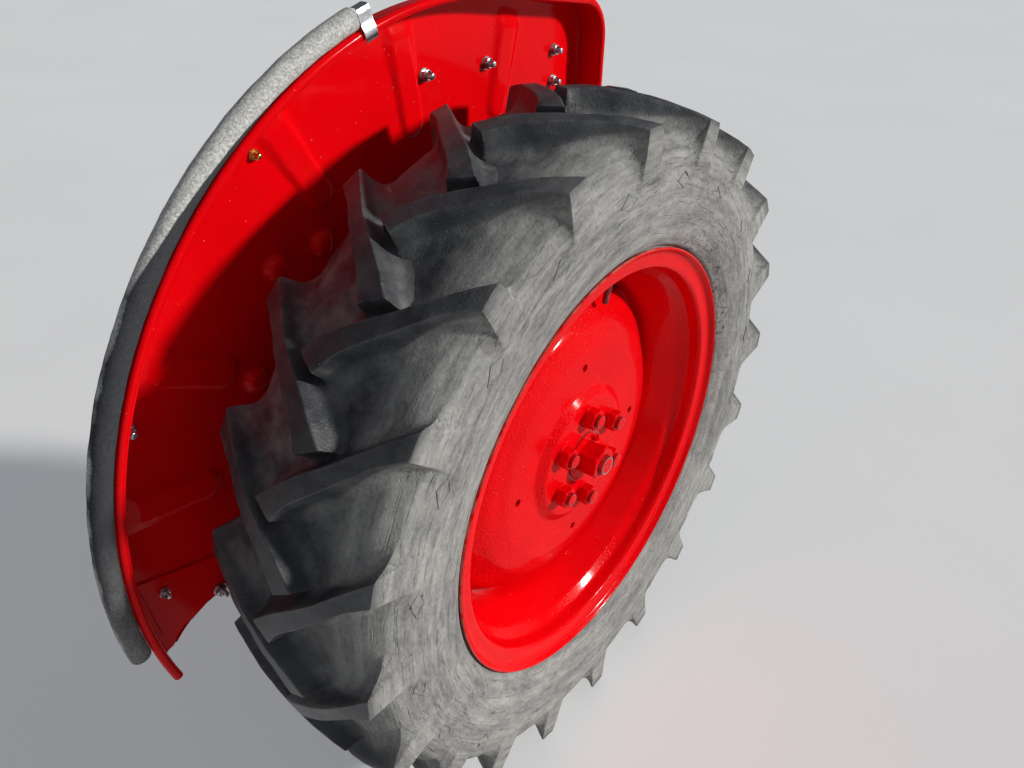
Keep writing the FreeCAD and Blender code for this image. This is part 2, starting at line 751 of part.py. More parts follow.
# Bolts through the mudguard's wall: nut and bolt tail on the wheel side
GUARD_BOLTS = [
    # inset from the guard's edge, angle about its centre, whether it holds the stay
    (76.9, 85.7, False),
    (73.7, 100.1, False),
    (65.6, 119.3, False),
    (32, 117.1, False),
    (21.5, 20.8, False),
    (33.6, 55.6, False),
    (36, -4, True),
    (86.7, -10.8, True),
]
bolts = []
for number, (inset, angle, on_stay) in enumerate(GUARD_BOLTS):
    x, z = polar(f"guard_radius - {inset}", angle, "guard_centre_z")
    start = "guard_wall_y + stay_thickness" if on_stay else "guard_wall_y"
    bolts.append(prism(
        f"bolt_nut_{number}", 6, "guard_bolt_across", start, "guard_bolt_height", x, z
    ))
    bolts.append(prism(
        f"bolt_tail_{number}", NUT_BORE_SIDES, "guard_bolt_radius * 2", start,
        "guard_bolt_height + guard_bolt_tail", x, z,
    ))
piece("guard_bolts", fused("guard_bolts", bolts))

# Strap across the foot of the mudguard above the arch
stay_blank = plate(
    "stay_blank",
    [
        polar("guard_radius - guard_bend - stay_thickness", -0.5, "guard_centre_z"),
        polar("guard_radius - stay_inset", -5.7, "guard_centre_z"),
        polar("guard_radius - stay_inset", -16, "guard_centre_z"),
        polar("guard_radius - guard_bend - stay_thickness", -10.5, "guard_centre_z"),
    ],
    "guard_wall_y", "stay_thickness",
)
piece("lower_stay", cut("lower_stay", stay_blank, [arch("stay_arch")]))

# Foam tube along the outside of the wired rim, flat against flat
FOAM_STEPS = (1, 14)
foam_reach = value_of(
    f"guard_wire_radius * cos(180deg / {WIRE_SIDES}) + foam_radius * cos(180deg / {FOAM_SIDES})"
    " + foam_gap"
)
foam_centre = (
    wire_centre[0] - foam_reach * math.cos(math.radians(lean)),
    wire_centre[1] - foam_reach * math.sin(math.radians(lean)),
)
foam_line = guard_path("foam_line", guard_arc("guard_radius", *FOAM_STEPS))
piece("foam_seal", swept("foam_seal", guard_section(
    "foam_section",
    round_spots(value_of("foam_radius"), FOAM_SIDES, foam_centre, 180 - lean),
    FOAM_STEPS[0],
), foam_line))

doc.recompute()
os.makedirs("parts", exist_ok=True)
faults = [o.Name for o in doc.Objects if "Invalid" in o.State or "Error" in o.State]
if faults:
    raise RuntimeError("features that failed: " + ", ".join(faults))
for shape in pieces:
    if shape.Shape.isNull() or not shape.Shape.isValid():
        raise RuntimeError(f"{shape.Label} has no valid shape")
    if not shape.Shape.Solids:
        raise RuntimeError(f"{shape.Label} has no solid")
for shape in pieces:
    shape.Shape.exportStep(os.path.join("parts", f"{shape.Label}.step"))
    box = shape.Shape.BoundBox
    print(
        f"{shape.Label:24s} {len(shape.Shape.Solids)} solid(s), volume {shape.Shape.Volume:.0f},"
        f" X {box.XMin:.1f}..{box.XMax:.1f} Y {box.YMin:.1f}..{box.YMax:.1f}"
        f" Z {box.ZMin:.1f}..{box.ZMax:.1f}"
    )
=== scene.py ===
import math

import bmesh
import bpy
import numpy as np
from mathutils import Matrix, Vector, noise


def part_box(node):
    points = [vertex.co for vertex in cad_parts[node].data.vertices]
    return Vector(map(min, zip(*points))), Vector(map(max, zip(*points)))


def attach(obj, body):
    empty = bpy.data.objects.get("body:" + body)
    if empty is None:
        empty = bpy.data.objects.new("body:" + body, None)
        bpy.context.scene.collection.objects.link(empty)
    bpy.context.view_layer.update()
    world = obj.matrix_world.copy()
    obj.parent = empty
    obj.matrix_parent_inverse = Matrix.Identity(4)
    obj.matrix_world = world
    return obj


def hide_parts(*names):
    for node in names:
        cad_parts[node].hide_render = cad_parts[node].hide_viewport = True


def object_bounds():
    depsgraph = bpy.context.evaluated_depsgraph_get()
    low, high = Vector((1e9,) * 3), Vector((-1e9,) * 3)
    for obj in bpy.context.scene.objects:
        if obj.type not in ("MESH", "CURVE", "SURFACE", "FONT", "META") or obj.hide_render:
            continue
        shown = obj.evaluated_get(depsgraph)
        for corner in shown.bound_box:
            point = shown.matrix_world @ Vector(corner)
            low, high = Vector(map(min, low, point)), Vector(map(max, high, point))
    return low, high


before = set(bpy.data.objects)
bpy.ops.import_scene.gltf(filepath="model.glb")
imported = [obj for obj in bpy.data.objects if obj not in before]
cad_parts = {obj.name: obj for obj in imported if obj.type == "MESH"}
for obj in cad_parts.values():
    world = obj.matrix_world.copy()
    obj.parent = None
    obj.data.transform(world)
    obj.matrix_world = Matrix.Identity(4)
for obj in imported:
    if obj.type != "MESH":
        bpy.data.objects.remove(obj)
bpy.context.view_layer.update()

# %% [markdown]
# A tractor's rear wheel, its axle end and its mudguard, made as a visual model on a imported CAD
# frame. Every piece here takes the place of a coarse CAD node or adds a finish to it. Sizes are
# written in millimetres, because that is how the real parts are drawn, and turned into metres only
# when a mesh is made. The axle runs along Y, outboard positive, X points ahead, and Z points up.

MM = 0.001
WHEEL_MID = 285.0  # the wheel's middle plane

# %% [markdown]
# Most of the pieces are surfaces that a lathe or a press would make, so one helper turns a grid of
# points into faces, and another joins parts into an object. Doubles are merged and normals are
# turned outward before the mesh is used, and edges sharper than a set angle stay crisp.

# %% Mesh helpers
def grid(spots, close_rows=False, close_columns=False):
    """Faces over an array of points, rows by columns, in millimetres."""
    rows, columns = spots.shape[:2]
    index = np.arange(rows * columns).reshape(rows, columns)
    if close_rows:
        index = np.vstack([index, index[:1]])
    if close_columns:
        index = np.hstack([index, index[:, :1]])
    quads = np.stack(
        [index[:-1, :-1], index[:-1, 1:], index[1:, 1:], index[1:, :-1]], axis=-1
    ).reshape(-1, 4)
    return spots.reshape(-1, 3), quads.tolist()


def border_of(rows, columns):
    """The numbers of a grid's outermost points, in their order round it."""
    index = np.arange(rows * columns).reshape(rows, columns)
    return np.concatenate([index[0], index[1:, -1], index[-1, -2::-1], index[-2:0:-1, 0]])


def capped(spots):
    """A tube of rows of points, with one face over its first row and one over its last."""
    points, faces = grid(spots, close_columns=True)
    count = spots.shape[1]
    return points, faces + [list(range(count)), list(range(len(points) - count, len(points)))]


def standing(turns, rows, x, base_y, z, turn=0.0):
    """Rows of (radius, level) about an axis along Y, as a tube with closed ends."""
    spots = []
    for reach, level in rows:
        level = np.broadcast_to(level, turns.shape)
        spots.append(np.stack([
            x + reach * np.cos(turns + turn), base_y + level, z + reach * np.sin(turns + turn)
        ], axis=-1))
    return capped(np.array(spots))


def round_steps(count):
    """So many even steps of a full turn, in radians."""
    return np.arange(count) * math.tau / count


def linked(name, data):
    """A new object of the scene from a mesh, a lamp or a camera."""
    thing = bpy.data.objects.new(name, data)
    bpy.context.scene.collection.objects.link(thing)
    return thing


def mesh_object(name, parts, finish, crease=35):
    """An object from parts in millimetres, with doubles merged, normals outward and creases."""
    spots, faces, start = [], [], 0
    for part_spots, part_faces in parts:
        spots.append(np.asarray(part_spots, float))
        faces += [[start + corner for corner in face] for face in part_faces]
        start += len(part_spots)
    mesh = bpy.data.meshes.new(name)
    mesh.from_pydata((np.vstack(spots) * MM).tolist(), [], faces)
    work = bmesh.new()
    work.from_mesh(mesh)
    bmesh.ops.remove_doubles(work, verts=work.verts, dist=0.00001)
    bmesh.ops.recalc_face_normals(work, faces=work.faces)
    for face in work.faces:
        face.smooth = True
    work.to_mesh(mesh)
    work.free()
    mesh.set_sharp_from_angle(angle=math.radians(crease))
    mesh.materials.append(finish)
    return linked(name, mesh)


def plain(thing, name):
    """The mesh that an object's modifiers make of it, as a new object in its place."""
    bpy.context.view_layer.update()
    ready = thing.evaluated_get(bpy.context.evaluated_depsgraph_get())
    mesh = bpy.data.meshes.new_from_object(ready)
    mesh.name = name
    bpy.data.objects.remove(thing, do_unlink=True)
    return linked(name, mesh)


# %% [markdown]
# Four helpers shape the lines that the grids are made from: a smooth step, a smooth curve through
# measured values, points at an angle about the axle, and a line with corners rounded as by a
# press.

# %% Line helpers
def soft(value):
    """0 below 0, 1 above 1, and a smooth step between."""
    t = np.clip(value, 0, 1)
    return t * t * (3 - 2 * t)


def eased(knots, values, at):
    """A smooth curve through values at knots, without overshoot at the ends."""
    knots, values, at = (np.asarray(v, float) for v in (knots, values, at))
    slopes = np.gradient(values, knots)
    spot = np.clip(np.searchsorted(knots, at) - 1, 0, len(knots) - 2)
    width = knots[spot + 1] - knots[spot]
    t = np.clip((at - knots[spot]) / width, 0, 1)
    return (
        (2 * t**3 - 3 * t**2 + 1) * values[spot]
        + (t**3 - 2 * t**2 + t) * width * slopes[spot]
        + (3 * t**2 - 2 * t**3) * values[spot + 1]
        + (t**3 - t**2) * width * slopes[spot + 1]
    )


def around_axle(radius, y, angle):
    """Points in millimetres at an angle in degrees from forward towards up."""
    turn = np.radians(angle)
    radius, y, turn = np.broadcast_arrays(radius, y, turn)
    return np.stack([radius * np.cos(turn), y, radius * np.sin(turn)], axis=-1)


def rounded(corners, radii, steps):
    """A line through corners (radius, y) with each inner corner rounded by its radius."""
    corners = [np.array(c, float) for c in corners]
    line = [corners[0]]
    for before, here, after, radius in zip(corners, corners[1:], corners[2:], radii):
        one, two = before - here, after - here
        one_length, two_length = np.linalg.norm(one), np.linalg.norm(two)
        one, two = one / one_length, two / two_length
        half = math.acos(np.clip(one @ two, -1, 1)) / 2
        reach = min(radius / max(math.tan(half), 1e-6), 0.48 * one_length, 0.48 * two_length)
        for t in np.linspace(0, 1, steps + 1):
            line.append(
                (1 - t) ** 2 * (here + one * reach) + 2 * t * (1 - t) * here
                + t**2 * (here + two * reach)
            )
    return np.array(line + [corners[-1]])


# %% [markdown]
# Materials are built from nodes. A finish here is mostly arithmetic on masks, so a small class
# lets node outputs be added and multiplied like numbers, and each sum or product makes its Math
# node.

# %% Node helpers
class Number:
    """A value that nodes work out. Sums and products of such values make the Math nodes."""

    def __init__(self, nodes, socket):
        self.nodes, self.socket = nodes, socket

    def __add__(self, other):
        return self.nodes.maths("ADD", self, other)

    def __sub__(self, other):
        return self.nodes.maths("SUBTRACT", self, other)

    def __mul__(self, other):
        return self.nodes.maths("MULTIPLY", self, other)

    def __pow__(self, other):
        return self.nodes.maths("POWER", self, other)

    def clamped(self):
        """The same value, held between 0 and 1 by its own Math node."""
        self.socket.node.use_clamp = True
        return self

    def other(self, output):
        """Another output of the same node."""
        return Number(self.nodes, self.socket.node.outputs[output])


class Nodes:
    """A node tree, with a short word for each kind of node that comes back often."""

    def __init__(self, tree):
        self.tree = tree

    def fill(self, socket, value):
        """A socket gets a link from a Number, or else a plain value."""
        if isinstance(value, Number):
            self.tree.links.new(value.socket, socket)
        else:
            socket.default_value = value

    def new(self, kind, inputs=None, output=0, **settings):
        """One output of a new node, with its settings made and its inputs filled."""
        node = self.tree.nodes.new(kind)
        for name, value in settings.items():
            setattr(node, name, value)
        for name, value in (inputs or {}).items():
            self.fill(node.inputs[name], value)
        return Number(self, node.outputs[output])

    def maths(self, operation, one, two):
        return self.new("ShaderNodeMath", {0: one, 1: two}, operation=operation)

    def ramp(self, value, start, end, low=0.0, high=1.0, smooth=False):
        """A value brought from the range start to end into the range low to high."""
        return self.new("ShaderNodeMapRange", {
            "Value": value, "From Min": start, "From Max": end, "To Min": low, "To Max": high,
        }, interpolation_type="SMOOTHSTEP" if smooth else "LINEAR")

    def noise(self, place, scale, detail, output=0, **inputs):
        return self.new("ShaderNodeTexNoise", {
            "Vector": place, "Scale": scale, "Detail": detail, **inputs,
        }, output)

    def mixed(self, amount, one, two):
        """Colour one turning into colour two by an amount."""
        return self.new("ShaderNodeMix", {0: amount, 6: one, 7: two}, 2, data_type="RGBA")

    def parts(self, vector):
        """The X, Y and Z of a vector."""
        split = self.new("ShaderNodeSeparateXYZ", {"Vector": vector})
        return split, split.other("Y"), split.other("Z")

    def result(self, value):
        """The value that a group puts out."""
        output = self.tree.nodes.new("NodeGroupOutput")
        self.tree.links.new(value.socket, output.inputs[0])


def new_group(name, kind, output, inputs):
    """A node group. An input is a number or a socket's kind, and the output a name and a kind."""
    tree = bpy.data.node_groups.new(name, kind)
    for label, value in inputs.items():
        if isinstance(value, str):
            tree.interface.new_socket(label, in_out="INPUT", socket_type="NodeSocket" + value)
        else:
            number = "NodeSocketInt" if isinstance(value, int) else "NodeSocketFloat"
            socket = tree.interface.new_socket(label, in_out="INPUT", socket_type=number)
            socket.default_value = value
    tree.interface.new_socket(output[0], in_out="OUTPUT", socket_type="NodeSocket" + output[1])
    nodes = Nodes(tree)
    given = tree.nodes.new("NodeGroupInput").outputs
    return nodes, {socket.name: Number(nodes, socket) for socket in given}


# %% [markdown]
# Effects that several finishes share are node groups with named inputs: patches of dirt or wear,
# thin scratches, a sprayed coat's orange-peel texture, and specks. Each group puts out a mask or a
# height only, and the shader itself stays in the material.

# %% Shared groups
def effect(name, output, **inputs):
    return new_group(name, "ShaderNodeTree", (output, "Float"), {"Place": "Vector", **inputs})


patches, given = effect("patches", "Mask", Scale=5.0, From=0.4, To=0.6, Detail=6.0)
cloud = patches.noise(given["Place"], given["Scale"], given["Detail"], Roughness=0.62)
patches.result(patches.ramp(cloud, given["From"], given["To"], smooth=True))

scratches, given = effect("scratches", "Mask", Scale=30.0, Width=0.02, Amount=0.5)
bent = scratches.noise(given["Place"], 9.0, 2.0, output=1)
pushed = scratches.new("ShaderNodeVectorMath", {0: bent, 1: (0.1, 0.1, 0.1)}, operation="MULTIPLY")
moved = scratches.new("ShaderNodeVectorMath", {0: given["Place"], 1: pushed}, operation="ADD")
cells = scratches.new("ShaderNodeTexVoronoi", {"Vector": moved, "Scale": given["Scale"]},
                      feature="DISTANCE_TO_EDGE")
where = scratches.ramp(scratches.noise(given["Place"], 14.0, 3.0), given["Amount"], 0.75)
scratches.result((scratches.ramp(cells, 0.0, given["Width"], 1.0, 0.0) * where).clamped())

peel, given = effect("orange_peel", "Height", Scale=260.0, Waves=0.4)
fine = peel.noise(given["Place"], given["Scale"], 2.0, Roughness=0.45)
peel.result(fine + peel.noise(given["Place"], 38.0, 1.0) * given["Waves"])

specks, given = effect("specks", "Mask", Scale=300.0, Size=0.1, Share=0.3)
dots = specks.new("ShaderNodeTexVoronoi", {"Vector": given["Place"], "Scale": given["Scale"]})
chance = specks.new("ShaderNodeSeparateColor", {"Color": dots.other("Color")})
specks.result(specks.maths("LESS_THAN", dots, given["Size"])
              * specks.maths("LESS_THAN", chance, given["Share"]))
print("shared groups: patches, scratches, orange_peel, specks")

# %% [markdown]
# Everything on this wheel that isn't rubber wears the same glossy red. Deep colour under a thin
# clear coat keeps it saturated at a grazing view. The sprayed texture is deep on the disc and
# almost flat on the guard. The rim's inner half, behind the plane of the disc, is made nearly
# black, and its edge is chipped.

# %% Finishes and the red paint
class Finish(Nodes):
    """A material with its Principled shader and its Object coordinates."""

    def __init__(self, name, **constants):
        self.material = bpy.data.materials.new(name)
        self.material.use_nodes = True
        super().__init__(self.material.node_tree)
        self.shader = self.tree.nodes["Principled BSDF"]
        self.feed(**constants)
        self.place = self.new("ShaderNodeTexCoord", output="Object")

    def feed(self, **sources):
        """Sockets of the shader get a link or a constant."""
        for label, value in sources.items():
            self.fill(self.shader.inputs[label.replace("_", " ")], value)

    def shared(self, group, place=None, **inputs):
        """A shared group in this material, read at the Object coordinates or another place."""
        return self.new("ShaderNodeGroup", {"Place": place or self.place, **inputs},
                        node_tree=group.tree)

    def patches(self, scale, start, end, detail=6.0, place=None):
        return self.shared(patches, place, Scale=scale, From=start, To=end, Detail=detail)

    def bumped(self, height, distance):
        self.feed(Normal=self.new("ShaderNodeBump", {"Height": height, "Distance": distance}))


def red_paint(name, peel_scale, peel_depth, dust, rim=False):
    """Glossy red paint with its sprayed texture and a little dust, and a rim's darkening behind
    the disc and its chips.
    """
    paint = Finish(name, Coat_Weight=0.14, Coat_Roughness=0.11, Specular_IOR_Level=0.02)
    colour = paint.mixed(paint.patches(6.0, 0.35, 0.7),
                         (0.82, 0.001, 0.004, 1), (0.71, 0.0008, 0.003, 1))
    dusty = paint.patches(22.0, 0.52, 0.8, detail=10.0) * dust
    colour = paint.mixed(dusty, colour, (0.55, 0.06, 0.05, 1))
    dots = paint.shared(specks, Scale=240.0, Size=0.14, Share=0.06)
    colour = paint.mixed(dots * 0.5, colour, (0.80, 0.30, 0.25, 1))
    if rim:
        x, y, z = paint.parts(paint.place)
        # Nearly black behind the plane of the disc, where the slots look into the wheel
        behind_disc = paint.ramp(y + paint.patches(40.0, 0.2, 0.8) * 0.002, 0.2795, 0.2775)
        colour = paint.mixed(behind_disc * 0.93, colour, (0.035, 0.018, 0.014, 1))
        at_edge = paint.ramp((x * x + z * z) ** 0.5, 0.2782, 0.2790)
        colour = paint.mixed(at_edge * paint.patches(55.0, 0.34, 0.60) * 0.5,
                             colour, (0.78, 0.36, 0.28, 1))
    paint.feed(Base_Color=colour, Roughness=dusty * 0.5 + 0.17)
    paint.bumped(paint.shared(peel, Scale=peel_scale, Waves=0.8), peel_depth)
    return paint.material


wheel_red = red_paint("red_paint_wheel", 330.0, 0.0017, 0.04)
rim_red = red_paint("red_paint_rim", 330.0, 0.0007, 0.04, rim=True)
guard_red = red_paint("red_paint_guard", 120.0, 0.00022, 0.07)
print("red paints:", wheel_red.name, rim_red.name, guard_red.name)

# %% [markdown]
# The tyre's casing is one closed ring: rounded shoulders, bulging sidewalls and beads clamped
# behind the rim's lips. Only one lug's share of it, 18 degrees, is made in detail. The line below
# gives the casing's outside as radius against a running length that starts at the middle and ends
# at the bead.

# %% The tyre's outside line
LUG_PAIRS = 20
PITCH = 360 / LUG_PAIRS
CORNER = 110.0
FOOT = 180.0
RUN = [0, 40, 70, 88, 100, 110, 130, 148, 162, FOOT]
FLOOR_REACH = [0, 40, 68, 83, 92, 98.5, 104, 107, 108.6, 109.4]
FLOOR_RADIUS = [408.5, 407.5, 404, 399.5, 394, 388.5, 377.5, 367.5, 359.5, 349.5]
END_RUN = [CORNER, 122, 135, 150, 165, FOOT]
END_REACH = [110.0, 110.3, 110.3, 110.2, 109.9, 109.5]
END_RADIUS = [419.8, 407.5, 394.5, 380.5, 366, 349.6]


def floor_line(run):
    """Reach from the middle plane and radius of the casing at a running length."""
    side, length = np.sign(run), np.abs(run)
    return side * eased(RUN, FLOOR_REACH, length), eased(RUN, FLOOR_RADIUS, length)


def lug_line(run):
    """Reach and radius of the lugs' tops, and past the corner of their end faces."""
    side, length = np.sign(run), np.abs(run)
    on_top = length < CORNER
    reach = np.where(on_top, length, eased(END_RUN, END_REACH, length))
    crowned = 436 - 16 * (length / 109.5) ** 2
    return side * reach, np.where(on_top, crowned, eased(END_RUN, END_RADIUS, length))


def on_tyre(run, angle, height):
    """A point on the tyre: height 0 on the casing, 1 on a lug's top or end face."""
    low_reach, low_radius = floor_line(run)
    high_reach, high_radius = lug_line(run)
    reach = low_reach + (high_reach - low_reach) * height
    radius = low_radius + (high_radius - low_radius) * height
    return around_axle(radius, WHEEL_MID + reach, angle)


SIDEWALL = [
    # reach, radius, from below the lugs' feet to the bead
    (109.6, 340), (109.5, 331), (108.6, 322), (106.9, 313), (104.8, 305.5), (103.6, 302.2),
    (103.4, 299.8), (101.6, 295.5), (99.4, 291.6), (97.0, 288.6), (96.0, 286.2), (94.4, 283.8),
    (91.6, 281.9), (88.2, 280.0), (84.8, 276.6), (82.0, 272), (81.2, 266), (80.6, 259.5),
    (76, 254.9), (64, 254.4),
]
HOLLOW = [(64, 262), (82, 268), (92, 288), (98, 318), (97.5, 350), (88, 378), (62, 388), (0, 391)]
run = np.concatenate([np.linspace(0, 150, 46), np.linspace(155, FOOT, 6)])
half = np.vstack([np.column_stack(floor_line(run)), SIDEWALL, HOLLOW])
section = np.vstack([half, half[-2:0:-1] * [-1, 1]])
print("casing line:", len(section), "points, widest", section[:, 0].max() * 2, "mm")

# %% [markdown]
# A lug is a bar of rubber laid at a slant from the shoulder to past the middle. Its upper edge is
# sharp from the mould, its flanks run out into the casing in wide fillets, its shoulder end is a
# flat trapezoid facing outboard, and its inner end is blunt. It is made as a grid: each row runs
# across the lug, the rows follow from its shoulder end to its inner end, and each point has a
# height between the casing and the lug's top. The two edges are lines of running length and angle,
# measured on the real tyre.

# %% One lug
UPPER = np.array([(110, 73.4), (85, 70.5), (47, 66.0), (7, 62.0), (-13, 59.7), (-30, 57.5)])
LOWER = np.array([(110, 69.7), (84, 67.4), (61, 64.6), (35, 61.5), (8, 58.3), (-6, 55.7)])
AROUND = math.radians(1) * 425  # millimetres of tread in a degree
SHARES = np.concatenate([[0, 0.012], np.linspace(0.05, 0.95, 19), [0.985, 1]])
# Over the top: share of the width, height. Down a flank: millimetres out from the edge, height
TOP = [(0, 0.972), (0.05, 1), (0.28, 1), (0.5, 0.997), (0.72, 1), (0.95, 1), (1, 0.968)]
UPPER_FLANK = [(1.3, 0.80), (2.4, 0.60), (3.8, 0.42), (6.0, 0.27), (9.2, 0.15), (13.5, 0.065),
               (18.5, 0.012), (22, -0.03)]
INNER_FLANK = [1.0, 1.8, 2.8, 4.2, 6.5, 9.5, 13, 16]
LOWER_FLANK = [(1.0, 0.82), (2.0, 0.62), (3.2, 0.44), (5.0, 0.28), (8.0, 0.14), (11.5, 0.055),
               (15.5, 0.008), (19, -0.03)]
END_FLANK = [(0.8, 0.80), (1.6, 0.60), (2.6, 0.42), (4.0, 0.27), (6.5, 0.13), (9.5, 0.05),
             (13, 0.0), (15, -0.03)]
NEAR_END = 38.0  # the upper flank narrows over this length
# The shoulder end's face: running length, and how far it flares to each side
END_ROWS = [(FOOT, 8.8), (176, 8.2), (168, 7.2), (157, 5.8), (145, 4.2), (132, 2.6), (120, 1.2),
            (CORNER + 1.2, 0.2)]


def edge_line(corners):
    """Points (running length, millimetres round the tyre) along an edge of the lug."""
    flat = corners * [1, AROUND]
    length = np.concatenate([[0], np.cumsum(np.linalg.norm(np.diff(flat, axis=0), axis=1))])
    at = SHARES * length[-1]
    return np.column_stack([eased(length, flat[:, 0], at), eased(length, flat[:, 1], at)])


def lug_spots(side, offset):
    """The grid of one lug on the outer (side 1) or inner (side -1) half of the tyre."""
    up, low = edge_line(UPPER), edge_line(LOWER)
    along = low[-1] + up[-1] - low[-3] - up[-3]
    along /= np.linalg.norm(along)
    rows = [(np.array([end, low[0, 1] - flare]), np.array([end, up[0, 1] + flare]), 1.0, 0.0)
            for end, flare in END_ROWS]
    rows += [(one, two, 1.0, 0.0) for one, two in zip(low, up)]
    rows += [(low[-1], up[-1], height, along * reach) for reach, height in END_FLANK]
    flat, heights = [], []
    for one, two, row_height, shift in rows:
        across = (two - one) / np.linalg.norm(two - one)
        stretch = 1 + 0.28 * abs(across[1]) ** 4
        near = min(np.linalg.norm(two - up[-1]) / NEAR_END, 1) ** 1.5
        line = [(one - across * reach * stretch, height)
                for reach, height in reversed(LOWER_FLANK)]
        line += [(one + (two - one) * share, height) for share, height in TOP]
        line += [(two + across * (near * wide * stretch + (1 - near) * tight), height)
                 for (wide, height), tight in zip(UPPER_FLANK, INNER_FLANK)]
        flat.append([spot + shift for spot, _ in line])
        heights.append([min(height, row_height) for _, height in line])
    flat = np.array(flat)
    return on_tyre(side * flat[..., 0], flat[..., 1] / AROUND + offset, np.array(heights))


print("lug:", len(SHARES) + len(END_ROWS) + len(END_FLANK), "rows")

# %% [markdown]
# The sector and its two lugs are repeated round the axle by a Geometry Nodes tree, because that is
# how the mould is cut too: one pitch, twenty times. The tree turns copies about Y, makes them
# real, merges the seams and sets the material. Its sizes are named inputs of the tree.

# %% A tree that repeats a mesh round the axle
def shape_tree(name, **sizes):
    """A Geometry Nodes tree for a mesh, with named sizes and the Finish that the result wears."""
    return new_group(name, "GeometryNodeTree", ("Geometry", "Geometry"),
                     {"Geometry": "Geometry", **sizes, "Finish": "Material"})


def through(thing, nodes, name, **values):
    """The plain mesh that a Geometry Nodes tree makes of an object."""
    modifier = thing.modifiers.new("nodes", "NODES")
    modifier.node_group = nodes.tree
    for item in nodes.tree.interface.items_tree:
        if item.in_out == "INPUT" and item.name in values:
            modifier[item.identifier] = values[item.name]
    return plain(thing, name)


repeat, given = shape_tree("repeat_round_axle", Count=20, Merge=0.00002)
spots = repeat.new("GeometryNodeMeshLine", {"Count": given["Count"], "Offset": (0, 0, 0)})
step = repeat.maths("DIVIDE", math.tau, given["Count"])
spin = repeat.new("ShaderNodeCombineXYZ", {"Y": repeat.new("GeometryNodeInputIndex") * step})
shape = repeat.new("GeometryNodeInstanceOnPoints", {
    "Points": spots, "Instance": given["Geometry"], "Rotation": spin})
shape = repeat.new("GeometryNodeRealizeInstances", {"Geometry": shape})
shape = repeat.new("GeometryNodeMergeByDistance", {"Geometry": shape, "Distance": given["Merge"]})
shape = repeat.new("GeometryNodeSetMaterial", {"Geometry": shape, "Material": given["Finish"]})
repeat.result(shape)
print("tree:", repeat.tree.name)

# %% [markdown]
# Old rubber isn't black: the tops and grooves are blue-black where they are clean, and the
# shoulder and sidewall are grey-tan with road dust that has settled into the fine cracks. The
# finish reads how far a point lies from the middle plane and from the axle, so the dust sits where
# the real tyre has it. Grey dust also lies in the grooves, and a thinner share of it on the lugs'
# tops is a painted sheen. Streaks follow the tyre's turn, because mud is wiped off along it. The
# lugs' edges are worn pale and nicked, and the inner lugs' end faces that face outboard, towards
# the light, get a painted highlight; two attributes of the mesh tell the finish where.

# %% Rubber
rubber = Finish("tyre_rubber", Specular_IOR_Level=0.42)
x, y, z = rubber.parts(rubber.place)
from_axle = (x * x + z * z) ** 0.5
turned = rubber.maths("ARCTAN2", z, x)
unrolled = rubber.new("ShaderNodeCombineXYZ", {"X": turned * 0.36, "Y": from_axle, "Z": y})
brushed = rubber.new("ShaderNodeMapping", {"Vector": unrolled, "Scale": (3.0, 30.0, 30.0)})
wiped = rubber.new("ShaderNodeMapping", {
    "Vector": unrolled, "Rotation": (0.0, 0.0, 0.6), "Scale": (13.0, 40.0, 40.0)})
# Where the dust lies: on the sidewall and the shoulder, and further in between the lugs
in_groove = rubber.ramp(from_axle, 0.420, 0.411, smooth=True)
side_dust = (rubber.ramp(y + in_groove * 0.040, 0.362, 0.388, smooth=True)
             * rubber.ramp(from_axle, 0.428, 0.400, smooth=True))
streaks = rubber.patches(2.2, 0.36, 0.66, place=brushed)
dust = (streaks * 0.26 + rubber.patches(9.0, 0.30, 0.74, detail=9.0) * 0.24
        + rubber.patches(3.4, 0.28, 0.74, detail=9.0, place=wiped) * 0.31
        + rubber.patches(240.0, 0.30, 0.72) * 0.21)
dust = rubber.ramp(dust, 0.16, 0.84)
# Grey dust in the grooves, and a thinner share on the lug tops that is a painted sheen
dust_and_sheen = (rubber.patches(30.0, 0.30, 0.80, detail=12.0) * 0.75 * (in_groove + 0.50)).clamped()
colour = rubber.mixed(rubber.patches(5.0, 0.35, 0.7),
                      (0.026, 0.029, 0.036, 1), (0.052, 0.054, 0.058, 1))
colour = rubber.mixed(dust_and_sheen, colour, (0.20, 0.20, 0.195, 1))
colour = rubber.mixed(side_dust, colour, rubber.mixed(
    dust, (0.15, 0.149, 0.145, 1), (0.41, 0.405, 0.38, 1)))
# Fine cracks on the sidewall, and a band of weather pits beside the bead
cracks = rubber.shared(scratches, brushed, Scale=3.2, Width=0.05, Amount=0.42)
cracks = cracks * (side_dust * rubber.ramp(y, 0.366, 0.384))
pitted_part = rubber.ramp(rubber.maths("ABSOLUTE", turned - 2.45, 0.0), 0.62, 0.40)
pits = (rubber.patches(190.0, 0.60, 0.63, detail=2.0)
        * (rubber.ramp(from_axle, 0.309, 0.297) * pitted_part))
cracks = rubber.maths("MAXIMUM", cracks, pits)
colour = rubber.mixed(cracks * 0.75, colour, (0.035, 0.035, 0.036, 1))
